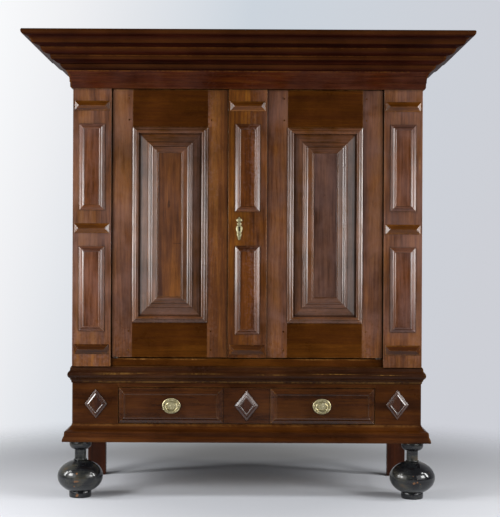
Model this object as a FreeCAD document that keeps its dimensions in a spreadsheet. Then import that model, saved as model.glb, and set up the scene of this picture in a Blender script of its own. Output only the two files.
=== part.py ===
import FreeCAD, Part
import os
from math import atan2, cos, degrees, pi, sin, sqrt
from types import SimpleNamespace

import Sketcher

# A kas: a Dutch-American cupboard with a heavy overhanging cornice, two panelled doors that hang
# on pins, raised pilaster panels, one long drawer in the base, two turned ball feet in front and
# two board legs behind.
#
# Frame: millimetres, +Z up, the front faces -Y, origin on the floor under the middle of the whole
# outline. Every piece of wood or metal is a solid of its own.

SIZES = {
    # Overall
    "CaseWidth": 1486.0,            # across the side pilasters
    "CaseDepth": 560.0,             # pilaster faces to the back
    "FootHeight": 239.0,            # floor to the underside of the base
    "BaseHeight": 291.0,            # base section
    "CaseHeight": 1282.0,           # upper section, up to the top of the frieze
    # Boards
    "BoardThickness": 28.0,         # case sides, stiles and rails
    "BackThickness": 16.0,          # back boards
    "ShelfThickness": 22.0,         # shelves, case top and case bottom
    "TongueThickness": 10.0,        # panel tongues and their grooves
    "GrooveDepth": 10.0,
    "GroovePlay": 1.0,              # room for a panel to swell in its groove
    # Cornice, outwards and upwards tier by tier
    "FriezeHeight": 73.0,
    "FriezeProjection": 30.0,
    "BedHeight": 55.5,
    "BedProjection": 86.0,
    "BedSeat": 30.0,                # how far the bed moulding reaches in over the case
    "CoronaHeight": 27.5,
    "CoronaProjection": 121.0,
    "CoronaBack": 30.0,             # projection of the corona's hidden back face
    "CrownHeight": 63.0,
    "CrownProjection": 190.0,
    "CrownBack": 80.0,              # projection of the crown's hidden back face
    "DustBoardThickness": 18.0,
    "CorniceRailThickness": 24.0,
    # Waist and base mouldings
    "WaistHeight": 70.0,
    "WaistLip": 28.0,               # how far the waist moulding stands above the base
    "WaistProjection": 19.6,
    "BaseMouldHeight": 73.0,
    "BaseMouldProjection": 38.0,
    # Upper case
    "SillHeight": 62.0,
    "SideStileWidth": 80.0,
    "SideTopRail": 110.0,
    "SideBottomRail": 150.0,
    "SidePanelRise": 8.0,
    "SidePanelSlope": 45.0,
    "LowerShelfTop": 962.0,
    "UpperShelfTop": 1348.0,
    "ShelfSetback": 45.0,           # shelf edges behind the backs of the doors
    "CleatSection": 22.0,
    # Pilasters
    "PilasterWidth": 163.0,
    "PilasterThickness": 12.0,
    "CentrePilasterWidth": 164.0,
    "PilasterPanelWidth": 109.0,
    "CentrePanelWidth": 106.0,
    "PanelBeltGap": 77.0,           # middle of a belt to the nearest raised panel
    "KeyholePanelGap": 73.0,        # keyhole to the raised panels above and below it
    "CentreFootGap": 66.0,          # middle of the bottom belt to the lowest centre panel
    "PanelMouldWidth": 23.0,
    "PanelMouldHeight": 14.0,
    "FieldDrop": 2.0,               # raised fields lie this far below their moulding's crest
    "BeltLength": 150.0,
    "BeltHeight": 42.0,
    "BeltRise": 15.0,
    "BeltHip": 19.0,
    "BeltMargin": 73.0,             # end belts below the head rail and above the waist moulding
    # Doors
    "DoorThickness": 26.0,
    "DoorEdgeGap": 5.0,
    "DoorTopGap": 2.0,
    "DoorBottomGap": 5.0,
    "MeetingGap": 3.0,
    "DoorStileWidth": 99.0,
    "DoorTopRail": 174.0,
    "DoorBottomRail": 162.0,
    "DoorMouldWidth": 28.0,
    "DoorMouldHeight": 13.0,
    "DoorMouldLap": 14.0,           # how far the outer moulding laps over the door frame
    "PanelSetback": 4.0,            # margin of the panel behind the face of the door frame
    "PanelFlat": 2.0,               # flat margin between the outer moulding and the slope
    "PanelSlope": 34.0,
    "PanelRise": 8.5,
    "InnerMouldWidth": 47.0,
    "InnerMouldHeight": 17.0,
    # Pivots of the doors
    "PivotInset": 14.0,             # pin centre in from the edge of the door
    "PivotDepth": 8.0,              # pin centre behind the face of the door
    "PivotRadius": 4.0,
    "PivotClearance": 0.07,
    "PivotReach": 12.0,             # how deep each pin stands in the case
    "PivotPlateLength": 60.0,
    "PivotPlateThickness": 3.0,
    "WasherRadius": 14.0,
    "RunningGap": 0.3,
    # Lock, keyhole and bolts
    "KeyholeInset": 47.0,           # from the meeting edge of the right door
    "KeyholeLevel": 1145.0,
    "KeyholeHeight": 19.0,
    "KeyholeWidth": 7.0,
    "EscutcheonThickness": 1.6,
    "LockWidth": 96.0,
    "LockHeight": 70.0,
    "LockThickness": 19.0,
    "LockBoltHeight": 16.0,
    "LockBoltThickness": 6.0,
    "LockBoltLength": 70.0,
    "LockWall": 4.0,                # between the door and the bolt
    "LockInset": 2.0,               # lock and keeper in from the meeting edges
    "KeeperWidth": 22.0,
    "KeeperHeight": 46.0,
    "KeeperThickness": 16.0,
    "KeeperPlay": 1.0,              # room for the bolt in the keeper and behind it in the lock
    "SlideBoltWidth": 14.0,
    "SlideBoltThickness": 6.0,
    "SlideBoltLength": 158.0,
    "SlideBoltDrop": 4.0,           # drawn back, below the top of the door
    "SlidePlateThickness": 2.0,
    "SlidePlateWidth": 34.0,
    "SlidePlateLength": 136.0,
    "SlidePlateDrop": 6.0,          # plate below the top of the door
    "StapleHeight": 10.0,
    "StapleWall": 4.0,
    "StapleSpacing": 70.0,
    "StapleDrop": 16.0,             # upper staple below the top of its plate
    "KnobDrop": 128.0,              # knob below the top of the bolt
    "KnobRadius": 5.0,
    "KnobLength": 13.0,
    # Base and drawer
    "BaseStileWidth": 196.0,
    "BaseTopRail": 61.0,
    "BaseBottomRail": 75.0,
    "DrawerGap": 2.0,
    "DrawerRearGap": 26.0,          # room behind the drawer
    "DrawerFrontThickness": 24.0,
    "DrawerSideThickness": 16.0,
    "DrawerSideInset": 4.0,         # drawer sides in from the ends of the drawer front
    "DrawerSideDrop": 12.0,         # drawer sides lower than the drawer front
    "DrawerBottomThickness": 10.0,
    "DrawerBottomLift": 10.0,
    "RunnerWidth": 45.0,            # how far the runners reach in under the drawer sides
    "RunnerHeight": 20.0,
    "GuideThickness": 15.0,
    "DrawerPanelGap": 101.0,        # middle of the drawer to each raised panel
    "DrawerPanelEnd": 1.0,          # raised panels in from the ends and edges of the front
    "DrawerMouldWidth": 28.0,
    "DrawerMouldHeight": 14.0,
    # Lozenges, half diagonals across and up
    "CentreLozengeAcross": 51.5,
    "CentreLozengeUp": 64.5,
    "CentreLozengeMould": 20.0,
    "BaseLozengeAcross": 48.5,
    "BaseLozengeUp": 63.0,
    "BaseLozengeMould": 16.0,
    "LozengeHeight": 13.0,
    "BaseLozengeInset": 101.0,      # from the sides of the case
    "BaseLozengeLevel": 398.0,
    # Drawer pulls
    "PullPlace": 320.0,             # from the middle of the kas
    "PullAcross": 38.5,
    "PullUp": 33.0,
    "PullPlate": 2.5,
    "PullBossAcross": 19.0,
    "PullBossUp": 15.0,
    "PullBossHeight": 3.8,
    "PostPlace": 32.5,
    "PostWidth": 6.4,
    "PostLength": 12.0,
    "PostLift": 3.0,                # posts above the middle of the plate
    "BailStandoff": 9.0,            # bail axis in front of the drawer panel
    "BailPinRadius": 2.0,
    "BailClearance": 0.06,
    "BailSpan": 24.5,               # radius of the bail's bow, to the middle of its bar
    "BailDrop": 4.0,                # middle of the bow below the pins
    "BailBarWidth": 5.0,
    "BailBarThickness": 4.6,
    # Feet and legs
    "FootInset": 34.0,              # ball foot centre in from the sides of the case
    "FootSetback": 28.0,            # ball foot centre behind the pilaster faces
    "FootPadRadius": 47.0,
    "FootPadHeight": 29.0,
    "BallRadius": 96.5,
    "BallHalfHeight": 70.0,
    "BallLevel": 88.0,
    "FootNeckRadius": 23.5,
    "FootDiscRadius": 46.5,
    "FootDiscHeight": 39.0,
    "FootDiscLip": 9.0,             # flat underside of the disc round the neck
    "FootDowelRadius": 11.0,
    "FootDowelLength": 45.0,
    "FootDowelPlay": 0.1,
    "LegWidth": 82.0,
    "LegThickness": 38.0,
}

# Shapes of the mouldings. Each corner is (share of the projection or width, share of the height)
# and may end in a bulge: the edge that starts there is an arc, convex when positive and hollow
# when negative, given as the tangent of a quarter of its angle.
FRIEZE_SHAPE = [(1.0, 1.0, -0.2), (0.65, 0.74), (0.60, 0.74, -0.1), (0.47, 0.36),
                (0.40, 0.34), (0.38, 0.08), (0.23, 0.0)]
BED_SHAPE = [(1.0, 1.0), (0.96, 0.90, 0.25), (0.88, 0.68), (0.85, 0.66, -0.1), (0.53, 0.46),
             (0.34, 0.41, 0.2), (0.06, 0.04), (0.0, 0.0)]
CORONA_SHAPE = [(1.0, 1.0), (0.93, 0.75, 0.3), (0.18, 0.08), (0.06, 0.0)]
CROWN_SHAPE = [(0.95, 1.0), (1.0, 0.94), (1.0, 0.86, 0.25), (0.88, 0.64), (0.66, 0.58, -0.15),
               (0.46, 0.32), (0.41, 0.20), (0.29, 0.12), (0.13, 0.08), (0.0, 0.0)]
WAIST_SHAPE = [(0.18, 1.0, 0.2), (0.44, 0.79), (0.48, 0.75), (0.60, 0.70, 0.5), (0.60, 0.29),
               (0.42, 0.24), (0.42, 0.18, -0.25), (0.18, 0.06), (0.18, 0.0)]
BASE_SHAPE = [(0.04, 1.0, -0.3), (0.74, 0.60), (0.78, 0.56), (0.82, 0.33), (0.88, 0.30),
              (1.0, 0.12), (1.0, 0.03), (0.95, 0.0)]
PANEL_SHAPE = [(1.0, 0.84), (0.88, 1.0), (0.66, 0.88), (0.50, 0.62), (0.46, 0.50), (0.06, 0.18),
               (0.0, 0.18)]
DOOR_MOULD_SHAPE = [(0.96, 0.38), (0.88, 0.90), (0.79, 1.0), (0.59, 1.0), (0.50, 0.90),
                    (0.42, 0.66), (0.36, 0.58), (0.16, 0.48), (0.0, 0.22)]
INNER_MOULD_SHAPE = [(1.0, 0.90), (0.97, 1.0), (0.88, 1.0), (0.86, 0.94), (0.55, 0.72),
                     (0.48, 0.72), (0.37, 0.50), (0.33, 0.58), (0.26, 0.54), (0.20, 0.42),
                     (0.17, 0.42), (0.07, 0.33), (0.0, 0.12)]

# A ball foot's ball, from the pad up to the neck: shares of its radius and of its half height above
# and below its widest level.
BALL_SHAPE = [(0.79, -0.61), (0.95, -0.34), (1.0, -0.1), (1.0, 0.1), (0.95, 0.34), (0.79, 0.61),
              (0.29, 0.96)]

# The bow of a bail, filed in short flats: shares of its radius from its left end round to its right.
BOW_FLATS = 12
BOW_SHAPE = [(-cos(pi * step / BOW_FLATS), -sin(pi * step / BOW_FLATS))
             for step in range(BOW_FLATS + 1)]

doc = FreeCAD.newDocument("Kas")
sheet = doc.addObject("Spreadsheet::Sheet", "Sizes")
for row, (alias, number) in enumerate(SIZES.items(), start=1):
    sheet.set(f"A{row}", alias)
    sheet.set(f"B{row}", str(number))
    sheet.setAlias(f"B{row}", alias)
doc.recompute()


class Size:
    """A length together with the expression that works it out from the sheet."""

    def __init__(self, value, text):
        self.value = value
        self.text = text

    def __add__(self, other):
        other = as_size(other)
        return Size(self.value + other.value, f"({self.text} + {other.text})")

    def __sub__(self, other):
        other = as_size(other)
        return Size(self.value - other.value, f"({self.text} - {other.text})")

    def __mul__(self, other):
        other = as_size(other)
        return Size(self.value * other.value, f"({self.text} * {other.text})")

    def __truediv__(self, other):
        other = as_size(other)
        return Size(self.value / other.value, f"({self.text} / {other.text})")

    def __neg__(self):
        return Size(-self.value, f"(-{self.text})")

    def __radd__(self, other):
        return as_size(other) + self

    def __rsub__(self, other):
        return as_size(other) - self

    def __rmul__(self, other):
        return as_size(other) * self


def as_size(value):
    return value if isinstance(value, Size) else Size(float(value), repr(float(value)))


def hypotenuse(across, up):
    square = across * across + up * up
    return Size(sqrt(square.value), f"sqrt({square.text})")


S = SimpleNamespace(**{alias: Size(number, f"Sizes.{alias}") for alias, number in SIZES.items()})
nodes = {}

ALONG_Y = FreeCAD.Rotation(FreeCAD.Vector(1, 0, 0), -90)       # turns +Z to +Y
FACING_FRONT = FreeCAD.Rotation(FreeCAD.Vector(1, 0, 0), 90)   # X stays, +Y goes up, +Z to -Y
ALONG_X = FreeCAD.Rotation(FreeCAD.Vector(0, 1, 0), 90)        # turns +Z to +X
RIGHT_SIDE = FreeCAD.Rotation(FreeCAD.Vector(0, 0, 1), 90)     # turns +X to +Y and +Y to -X
CROSS_SECTION = FreeCAD.Rotation(FreeCAD.Vector(1, 1, 1), 120)  # sketch X to +Y, sketch Y to +Z


# ---- Building blocks ---------------------------------------------------------------------------

def bind(item, **sizes):
    for name, size in sizes.items():
        item.setExpression(name, as_size(size).text)


def place(item, x, y, z, rotation=None):
    item.Placement = FreeCAD.Placement(FreeCAD.Vector(), rotation or FreeCAD.Rotation())
    for axis, size in zip("xyz", (x, y, z)):
        item.setExpression(f"Placement.Base.{axis}", as_size(size).text)
    return item


def block(x, y, z):
    """A board that fills the ranges x, y and z."""
    item = doc.addObject("Part::Box", "Board")
    bind(item, Length=x[1] - x[0], Width=y[1] - y[0], Height=z[1] - z[0])
    return place(item, x[0], y[0], z[0])


def rod(radius, length, x, y, z, rotation=None):
    item = doc.addObject("Part::Cylinder", "Rod")
    bind(item, Radius=radius, Height=length)
    return place(item, x, y, z, rotation)


def cut(piece, *tools):
    for tool in tools:
        result = doc.addObject("Part::Cut", "Cut")
        result.Base = piece
        result.Tool = tool
        piece = result
    return piece


def joined(*pieces):
    result = doc.addObject("Part::MultiFuse", "Joined")
    result.Shapes = list(pieces)
    return result


def mirrored(piece):
    result = doc.addObject("Part::Mirroring", "Mirrored")
    result.Source = piece
    result.Normal = FreeCAD.Vector(1, 0, 0)
    return result


def both_sides(*pieces):
    """Pieces of the right-hand side and their twins on the left."""
    return list(pieces) + [mirrored(piece) for piece in pieces]


def node(label, *pieces):
    """Name one sub-part: a single object, or a group of separate solids."""
    if len(pieces) == 1:
        result = pieces[0]
    else:
        result = doc.addObject("Part::Compound", "Group")
        result.Links = list(pieces)
    result.Label = label
    nodes[label] = result
    return result


def boards_across_depth(x, y, z, count):
    """Boards laid side by side from front to back."""
    width = (y[1] - y[0]) / count
    return [block(x, (y[0] + width * place_in_row, y[0] + width * (place_in_row + 1)), z)
            for place_in_row in range(count)]


def boards_across_width(x, y, z, count):
    """Upright boards side by side from left to right."""
    width = (x[1] - x[0]) / count
    return [block((x[0] + width * place_in_row, x[0] + width * (place_in_row + 1)), y, z)
            for place_in_row in range(count)]


def outline(sketch, corners):
    """Draw a closed counterclockwise outline and tie each corner and arc to the sheet."""
    edges = []
    rules = []
    ties = []
    count = len(corners)
    for index, corner in enumerate(corners):
        x, y = as_size(corner[0]), as_size(corner[1])
        next_x, next_y = (as_size(size) for size in corners[(index + 1) % count][:2])
        start = FreeCAD.Vector(x.value, y.value)
        end = FreeCAD.Vector(next_x.value, next_y.value)
        bulge = corner[2] if len(corner) > 2 else 0
        if bulge:
            chord = end - start
            middle = (start + end) / 2 + FreeCAD.Vector(chord.y, -chord.x) * (bulge / 2)
            curve = Part.Arc(start, middle, end).toShape().Curve
            angles = [atan2(*(point - curve.Center)[1::-1]) for point in (start, end)]
            if bulge < 0:
                angles.reverse()
            circle = Part.Circle(curve.Center, FreeCAD.Vector(0, 0, 1), curve.Radius)
            sketch.addGeometry(Part.ArcOfCircle(circle, *angles))
        else:
            sketch.addGeometry(Part.LineSegment(start, end))
        edges.append((1, 2) if bulge >= 0 else (2, 1))
        for kind, size in (("DistanceX", x), ("DistanceY", y)):
            ties.append((len(rules), size))
            rules.append(Sketcher.Constraint(kind, -1, 1, index, edges[index][0], size.value))
        if bulge:
            radius = hypotenuse(next_x - x, next_y - y) * ((1 + bulge * bulge) / (4 * abs(bulge)))
            ties.append((len(rules), radius))
            rules.append(Sketcher.Constraint("Radius", index, radius.value))
    for index, (_, end_point) in enumerate(edges):
        following = (index + 1) % count
        rules.append(Sketcher.Constraint("Coincident", index, end_point,
                                         following, edges[following][0]))
    sketch.addConstraint(rules)
    for number, size in ties:
        sketch.setExpression(f"Constraints[{number}]", size.text)


def flat_plate(corners, thickness, x, y, z):
    """A plate of the outline `corners` that stands out towards the front from the face at y."""
    sketch = doc.addObject("Sketcher::SketchObject", "PlateOutline")
    outline(sketch, corners)
    plate = doc.addObject("Part::Extrusion", "Plate")
    plate.Base = sketch
    plate.DirMode = "Normal"
    plate.Solid = True
    bind(plate, LengthFwd=thickness)
    return place(plate, x, y, z, FACING_FRONT)


def body_sketch(body, role, name):
    """A sketch on one of the body's own origin planes."""
    sketch = body.newObject("Sketcher::SketchObject", name)
    plane = next(item for item in body.Origin.OriginFeatures if item.Role == role)
    sketch.AttachmentSupport = [(plane, "")]
    sketch.MapMode = "FlatFace"
    return sketch


def wedge(near, far, low, high, depth):
    """A block whose plan tapers from the range `near` at depth[0] to the range `far` at depth[1].

    `low` and `high` are the height ranges (bottom, top) at the two ends.
    """
    item = doc.addObject("Part::Wedge", "Wedge")
    bind(item, Xmin=near[0], Xmax=near[1], X2min=far[0], X2max=far[1], Ymin=depth[0],
         Ymax=depth[1], Zmin=low[0], Zmax=low[1], Z2min=high[0], Z2max=high[1])
    return item


# ---- Mouldings ---------------------------------------------------------------------------------

def section(corners):
    """The cross-section of a moulding that runs along X, drawn in Y and Z."""
    sketch = doc.addObject("Sketcher::SketchObject", "Section")
    sketch.Placement = FreeCAD.Placement(FreeCAD.Vector(), CROSS_SECTION)
    outline(sketch, corners)
    return sketch


def length_of_moulding(profile, forward, backward, mitres):
    """One length of a moulding, with its ends cut by the wedge `mitres`."""
    stick = doc.addObject("Part::Extrusion", "Stick")
    stick.Base = profile
    stick.DirMode = "Normal"
    stick.Solid = True
    bind(stick, LengthFwd=forward, LengthRev=backward)
    piece = doc.addObject("Part::Common", "Length")
    piece.Base = stick
    piece.Tool = mitres
    return piece


def case_moulding(label, shape, face_y, foot, height, inner, outer, hidden_back):
    """Three mitred lengths round the front and sides of the case.

    `inner` and `outer` are the projections between which the shape is drawn, and `hidden_back` is
    the projection of the flat back face.
    """
    reach = outer - inner
    corners = [(-hidden_back, 0.0), (-hidden_back, height)]
    corners += [(-(inner + reach * corner[0]), height * corner[1], *corner[2:])
                for corner in shape]
    profile = section(corners)
    depth = (-outer, -hidden_back)
    across = half + outer
    front_mitres = wedge((-across, across), (-(half + hidden_back), half + hidden_back),
                         (0.0, height), (0.0, height), depth)
    front_length = length_of_moulding(profile, across, across, front_mitres)
    place(front_length, 0.0, face_y, foot)
    side_mitres = wedge((face_y - outer, back), (face_y - hidden_back, back),
                        (0.0, height), (0.0, height), depth)
    side_length = length_of_moulding(profile, back, outer - face_y, side_mitres)
    place(side_length, half, 0.0, foot, RIGHT_SIDE)
    node(label, front_length, *both_sides(side_length))


def face_profile(shape, width, height, underside=()):
    """Section of a moulding laid on a face: its outer edge at 0, its inner edge at `width`."""
    corners = [(0.0, 0.0)] + list(underside or [(width, 0.0)])
    corners += [(width * corner[0], height * corner[1], *corner[2:]) for corner in shape]
    return section(corners)


def face_length(profile, length, width, depth, trims, corner, angle):
    """One mitred length of a frame on a front face; it starts at `corner` and runs at `angle`."""
    mitres = wedge((0.0, length), (trims[0], length - trims[1]), depth, depth, (0.0, width))
    piece = length_of_moulding(profile, length, 0.0, mitres)
    turn = FreeCAD.Rotation(FreeCAD.Vector(0, 0, 1), angle)
    return place(piece, *corner, FACING_FRONT * turn)


def rectangular_frame(profile, x, y, z, width, depth):
    """Four mitred lengths round the rectangle x by z on the face at y."""
    across, up = x[1] - x[0], z[1] - z[0]
    trims = (width, width)
    return [face_length(profile, across, width, depth, trims, (x[0], y, z[0]), 0),
            face_length(profile, up, width, depth, trims, (x[1], y, z[0]), 90),
            face_length(profile, across, width, depth, trims, (x[1], y, z[1]), 180),
            face_length(profile, up, width, depth, trims, (x[0], y, z[1]), 270)]


def raised_panel(x, y, z, width, height):
    """A raised field with a stepped moulding mitred round it."""
    profile = face_profile(PANEL_SHAPE, width, height)
    lengths = rectangular_frame(profile, x, y, z, width, (0.0, height))
    field = block((x[0] + width, x[1] - width), (y - height + S.FieldDrop, y),
                  (z[0] + width, z[1] - width))
    return lengths + [field]


def lozenge(x, y, z, across, up, width):
    """A raised diamond with a stepped moulding mitred round it, centred at x and z."""
    side = hypotenuse(across, up)
    height = S.LozengeHeight
    profile = face_profile(PANEL_SHAPE, width, height)
    sharp, blunt = width * up / across, width * across / up
    slope = degrees(atan2(up.value, across.value))
    walk = [((x, y, z - up), slope, (sharp, blunt)),
            ((x + across, y, z), 180 - slope, (blunt, sharp)),
            ((x, y, z + up), 180 + slope, (sharp, blunt)),
            ((x - across, y, z), -slope, (blunt, sharp))]
    lengths = [face_length(profile, side, width, (0.0, height), trims, corner, angle)
               for corner, angle, trims in walk]
    field_across = across - width * side / up
    field_up = up - width * side / across
    corners = [(0.0, -field_up), (field_across, 0.0), (0.0, field_up), (-field_across, 0.0)]
    return lengths + [flat_plate(corners, height - S.FieldDrop, x, y, z)]


def belt(x, y, z):
    """A low hipped bar across a pilaster, centred at x and z on the face at y."""
    half_length, half_height = S.BeltLength / 2, S.BeltHeight / 2
    ridge = half_length - S.BeltHip
    bar = wedge((-half_length, half_length), (-ridge, ridge), (-half_height, half_height),
                (0.0, 0.0), (0.0, S.BeltRise))
    return place(bar, x, y, z, FreeCAD.Rotation(FreeCAD.Vector(0, 0, 1), 180))


# ---- Planes that the pieces share --------------------------------------------------------------

half = S.CaseWidth / 2
inside = half - S.BoardThickness
front = (S.CrownProjection - S.CaseDepth) / 2       # faces of the pilasters and the frieze
back = (S.CrownProjection + S.CaseDepth) / 2
face = front + S.PilasterThickness                  # faces of the doors, stiles and base
frame_back = face + S.BoardThickness
case_foot = S.FootHeight + S.BaseHeight
case_top = case_foot + S.CaseHeight
sill = case_foot + S.SillHeight
head = case_top - S.FriezeHeight
waist_top = case_foot + S.WaistLip
doorway = half - S.PilasterWidth
back_board_face = back - S.BackThickness
bed_top = case_top + S.BedHeight
corona_top = bed_top + S.CoronaHeight

door_face = face
door_back = face + S.DoorThickness
door_foot = sill + S.DoorBottomGap
door_top = head - S.DoorTopGap
pivot_x = doorway - S.DoorEdgeGap - S.PivotInset
pivot_y = face + S.PivotDepth


# ---- Cornice -----------------------------------------------------------------------------------

case_moulding("frieze_boards", FRIEZE_SHAPE, front, head, S.FriezeHeight, as_size(0.0),
              S.FriezeProjection, as_size(0.0))
case_moulding("bed_moulding", BED_SHAPE, front, case_top, S.BedHeight, S.FriezeProjection,
              S.BedProjection, -S.BedSeat)
case_moulding("corona_moulding", CORONA_SHAPE, front, bed_top, S.CoronaHeight, S.BedProjection,
              S.CoronaProjection, S.CoronaBack)
case_moulding("crown_moulding", CROWN_SHAPE, front, corona_top, S.CrownHeight,
              S.CoronaProjection, S.CrownProjection, S.CrownBack)
dust_half = half + S.CrownBack
node("cornice_dust_boards",
     *boards_across_depth((-dust_half, dust_half), (front - S.CrownBack, back),
                          (corona_top, corona_top + S.DustBoardThickness), 4))
rail_half = half - S.BedSeat
node("cornice_back_rail",
     block((-rail_half, rail_half), (back - S.CorniceRailThickness, back),
           (case_top, corona_top)))


# ---- Upper case --------------------------------------------------------------------------------

def pivot_hole(side, low, high):
    return rod(S.PivotRadius + S.PivotClearance, high - low, pivot_x * side, pivot_y, low)


pin_room = S.PivotReach + S.DoorTopGap
node("case_head_rail",
     cut(block((-half, half), (front, frame_back), (head, case_top)),
         *[pivot_hole(side, head, head + pin_room) for side in (-1, 1)]))
node("case_bottom_rail",
     cut(block((-doorway, doorway), (face, frame_back), (case_foot, sill)),
         *[pivot_hole(side, sill - pin_room, sill) for side in (-1, 1)]))
node("case_front_stiles",
     *both_sides(block((doorway, half), (face, frame_back), (case_foot, head))))
board_room = ((-inside, inside), (frame_back, back_board_face))
node("case_top_and_bottom_boards",
     *boards_across_depth(*board_room, (case_top - S.ShelfThickness, case_top), 3),
     *boards_across_depth(*board_room, (sill - S.ShelfThickness, sill), 3))
node("back_boards",
     *boards_across_width((-inside, inside), (back_board_face, back), (case_foot, case_top), 6))

washer_height = S.DoorBottomGap - S.RunningGap
washer = cut(rod(S.WasherRadius, washer_height, pivot_x, pivot_y, sill),
             pivot_hole(1, sill, sill + washer_height))
node("pivot_washers", *both_sides(washer))

side_y = (frame_back, back)
opening_y = (frame_back + S.SideStileWidth, back - S.SideStileWidth)
opening_z = (case_foot + S.SideBottomRail, case_top - S.SideTopRail)
side_x = (inside, half)
tongue_x = (half - S.SidePanelRise - S.PanelFlat - S.TongueThickness,
            half - S.SidePanelRise - S.PanelFlat)
reach = S.GrooveDepth
side_groove = block(tongue_x, (opening_y[0] - reach, opening_y[1] + reach),
                    (opening_z[0] - reach, opening_z[1] + reach))
side_members = [block(side_x, (side_y[0], opening_y[0]), (case_foot, case_top)),
                block(side_x, (opening_y[1], side_y[1]), (case_foot, case_top)),
                block(side_x, opening_y, (opening_z[1], case_top)),
                block(side_x, opening_y, (case_foot, opening_z[0]))]
node("side_frames", *both_sides(*[cut(member, side_groove) for member in side_members]))

tongue = S.GrooveDepth - S.GroovePlay
side_tongue = block(tongue_x, (opening_y[0] - tongue, opening_y[1] + tongue),
                    (opening_z[0] - tongue, opening_z[1] + tongue))
slope = S.SidePanelSlope
side_field = wedge((-opening_y[1], -opening_y[0]),
                   (slope - opening_y[1], -(opening_y[0] + slope)),
                   opening_z, (opening_z[0] + slope, opening_z[1] - slope),
                   (0.0, S.SidePanelRise))
place(side_field, tongue_x[1], 0.0, 0.0, FreeCAD.Rotation(FreeCAD.Vector(0, 0, 1), -90))
node("side_panels", *both_sides(joined(side_tongue, side_field)))

shelf_front = door_back + S.ShelfSetback
shelf_tops = (S.LowerShelfTop, S.UpperShelfTop)
node("shelves", *[block((-inside, inside), (shelf_front, back_board_face),
                        (top - S.ShelfThickness, top)) for top in shelf_tops])
cleats = [block((inside - S.CleatSection, inside), (shelf_front, back_board_face),
                (top - S.ShelfThickness - S.CleatSection, top - S.ShelfThickness))
          for top in shelf_tops]
node("shelf_cleats", *both_sides(*cleats))


# ---- Side pilasters ----------------------------------------------------------------------------

pilaster_x = (doorway, half)
pilaster_middle = half - S.PilasterWidth / 2
panel_x = (pilaster_middle - S.PilasterPanelWidth / 2, pilaster_middle + S.PilasterPanelWidth / 2)
top_belt, middle_belt, bottom_belt = head - S.BeltMargin, S.KeyholeLevel, waist_top + S.BeltMargin
upper_z = (middle_belt + S.PanelBeltGap, top_belt - S.PanelBeltGap)
lower_z = (bottom_belt + S.PanelBeltGap, middle_belt - S.PanelBeltGap)
panel_edge = (S.PanelMouldWidth, S.PanelMouldHeight)
node("side_pilaster_boards", *both_sides(block(pilaster_x, (front, face), (waist_top, head))))
node("side_pilaster_panels",
     *both_sides(*raised_panel(panel_x, front, upper_z, *panel_edge),
                 *raised_panel(panel_x, front, lower_z, *panel_edge)))
node("side_pilaster_belts",
     *both_sides(*[belt(pilaster_middle, front, level)
                   for level in (top_belt, middle_belt, bottom_belt)]))


# ---- Doors -------------------------------------------------------------------------------------

centre_half = S.CentrePilasterWidth / 2
panel_opening = doorway - S.DoorEdgeGap - S.DoorStileWidth      # outer edge of each door's panel
left_meeting = centre_half + S.MeetingGap                       # meeting edge of the left door
opening_width = panel_opening - left_meeting - S.DoorStileWidth
panel_middle = panel_opening - opening_width / 2
panel_z = (door_foot + S.DoorBottomRail, door_top - S.DoorTopRail)
tongue_y = (face + S.PanelSetback, face + S.PanelSetback + S.TongueThickness)

keyhole_x = S.KeyholeInset - centre_half
keyhole_depth = S.EscutcheonThickness + S.PilasterThickness + S.DoorThickness
keyhole_y = front - S.EscutcheonThickness
keyhole_top = (S.KeyholeHeight - S.KeyholeWidth) / 2
keyhole = joined(
    rod(S.KeyholeWidth / 2, keyhole_depth, keyhole_x, keyhole_y, S.KeyholeLevel + keyhole_top,
        ALONG_Y),
    block((keyhole_x - S.KeyholeWidth * 0.38, keyhole_x + S.KeyholeWidth * 0.38),
          (keyhole_y, keyhole_y + keyhole_depth),
          (S.KeyholeLevel - S.KeyholeHeight / 2, S.KeyholeLevel + keyhole_top)))


def pivot(side, edge, upward):
    """The plate let into one end of a hinge stile and its pin; `upward` is 1 at the top."""
    plate_start = side * pivot_x - S.PivotRadius * 2
    if side > 0:
        plate_start = pivot_x + S.PivotRadius * 2 - S.PivotPlateLength
    plate_z = (edge - S.PivotPlateThickness, edge)
    pin_foot = plate_z[0]
    gap = S.DoorTopGap
    if upward < 0:
        plate_z = (edge, edge + S.PivotPlateThickness)
        gap = S.DoorBottomGap
        pin_foot = edge - S.PivotReach - gap
    plate = block((plate_start, plate_start + S.PivotPlateLength),
                  (pivot_y - S.PivotRadius * 1.5, pivot_y + S.PivotRadius * 3), plate_z)
    pin = rod(S.PivotRadius, S.PivotReach + gap + S.PivotPlateThickness, side * pivot_x, pivot_y,
              pin_foot)
    return plate, pin


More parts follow.
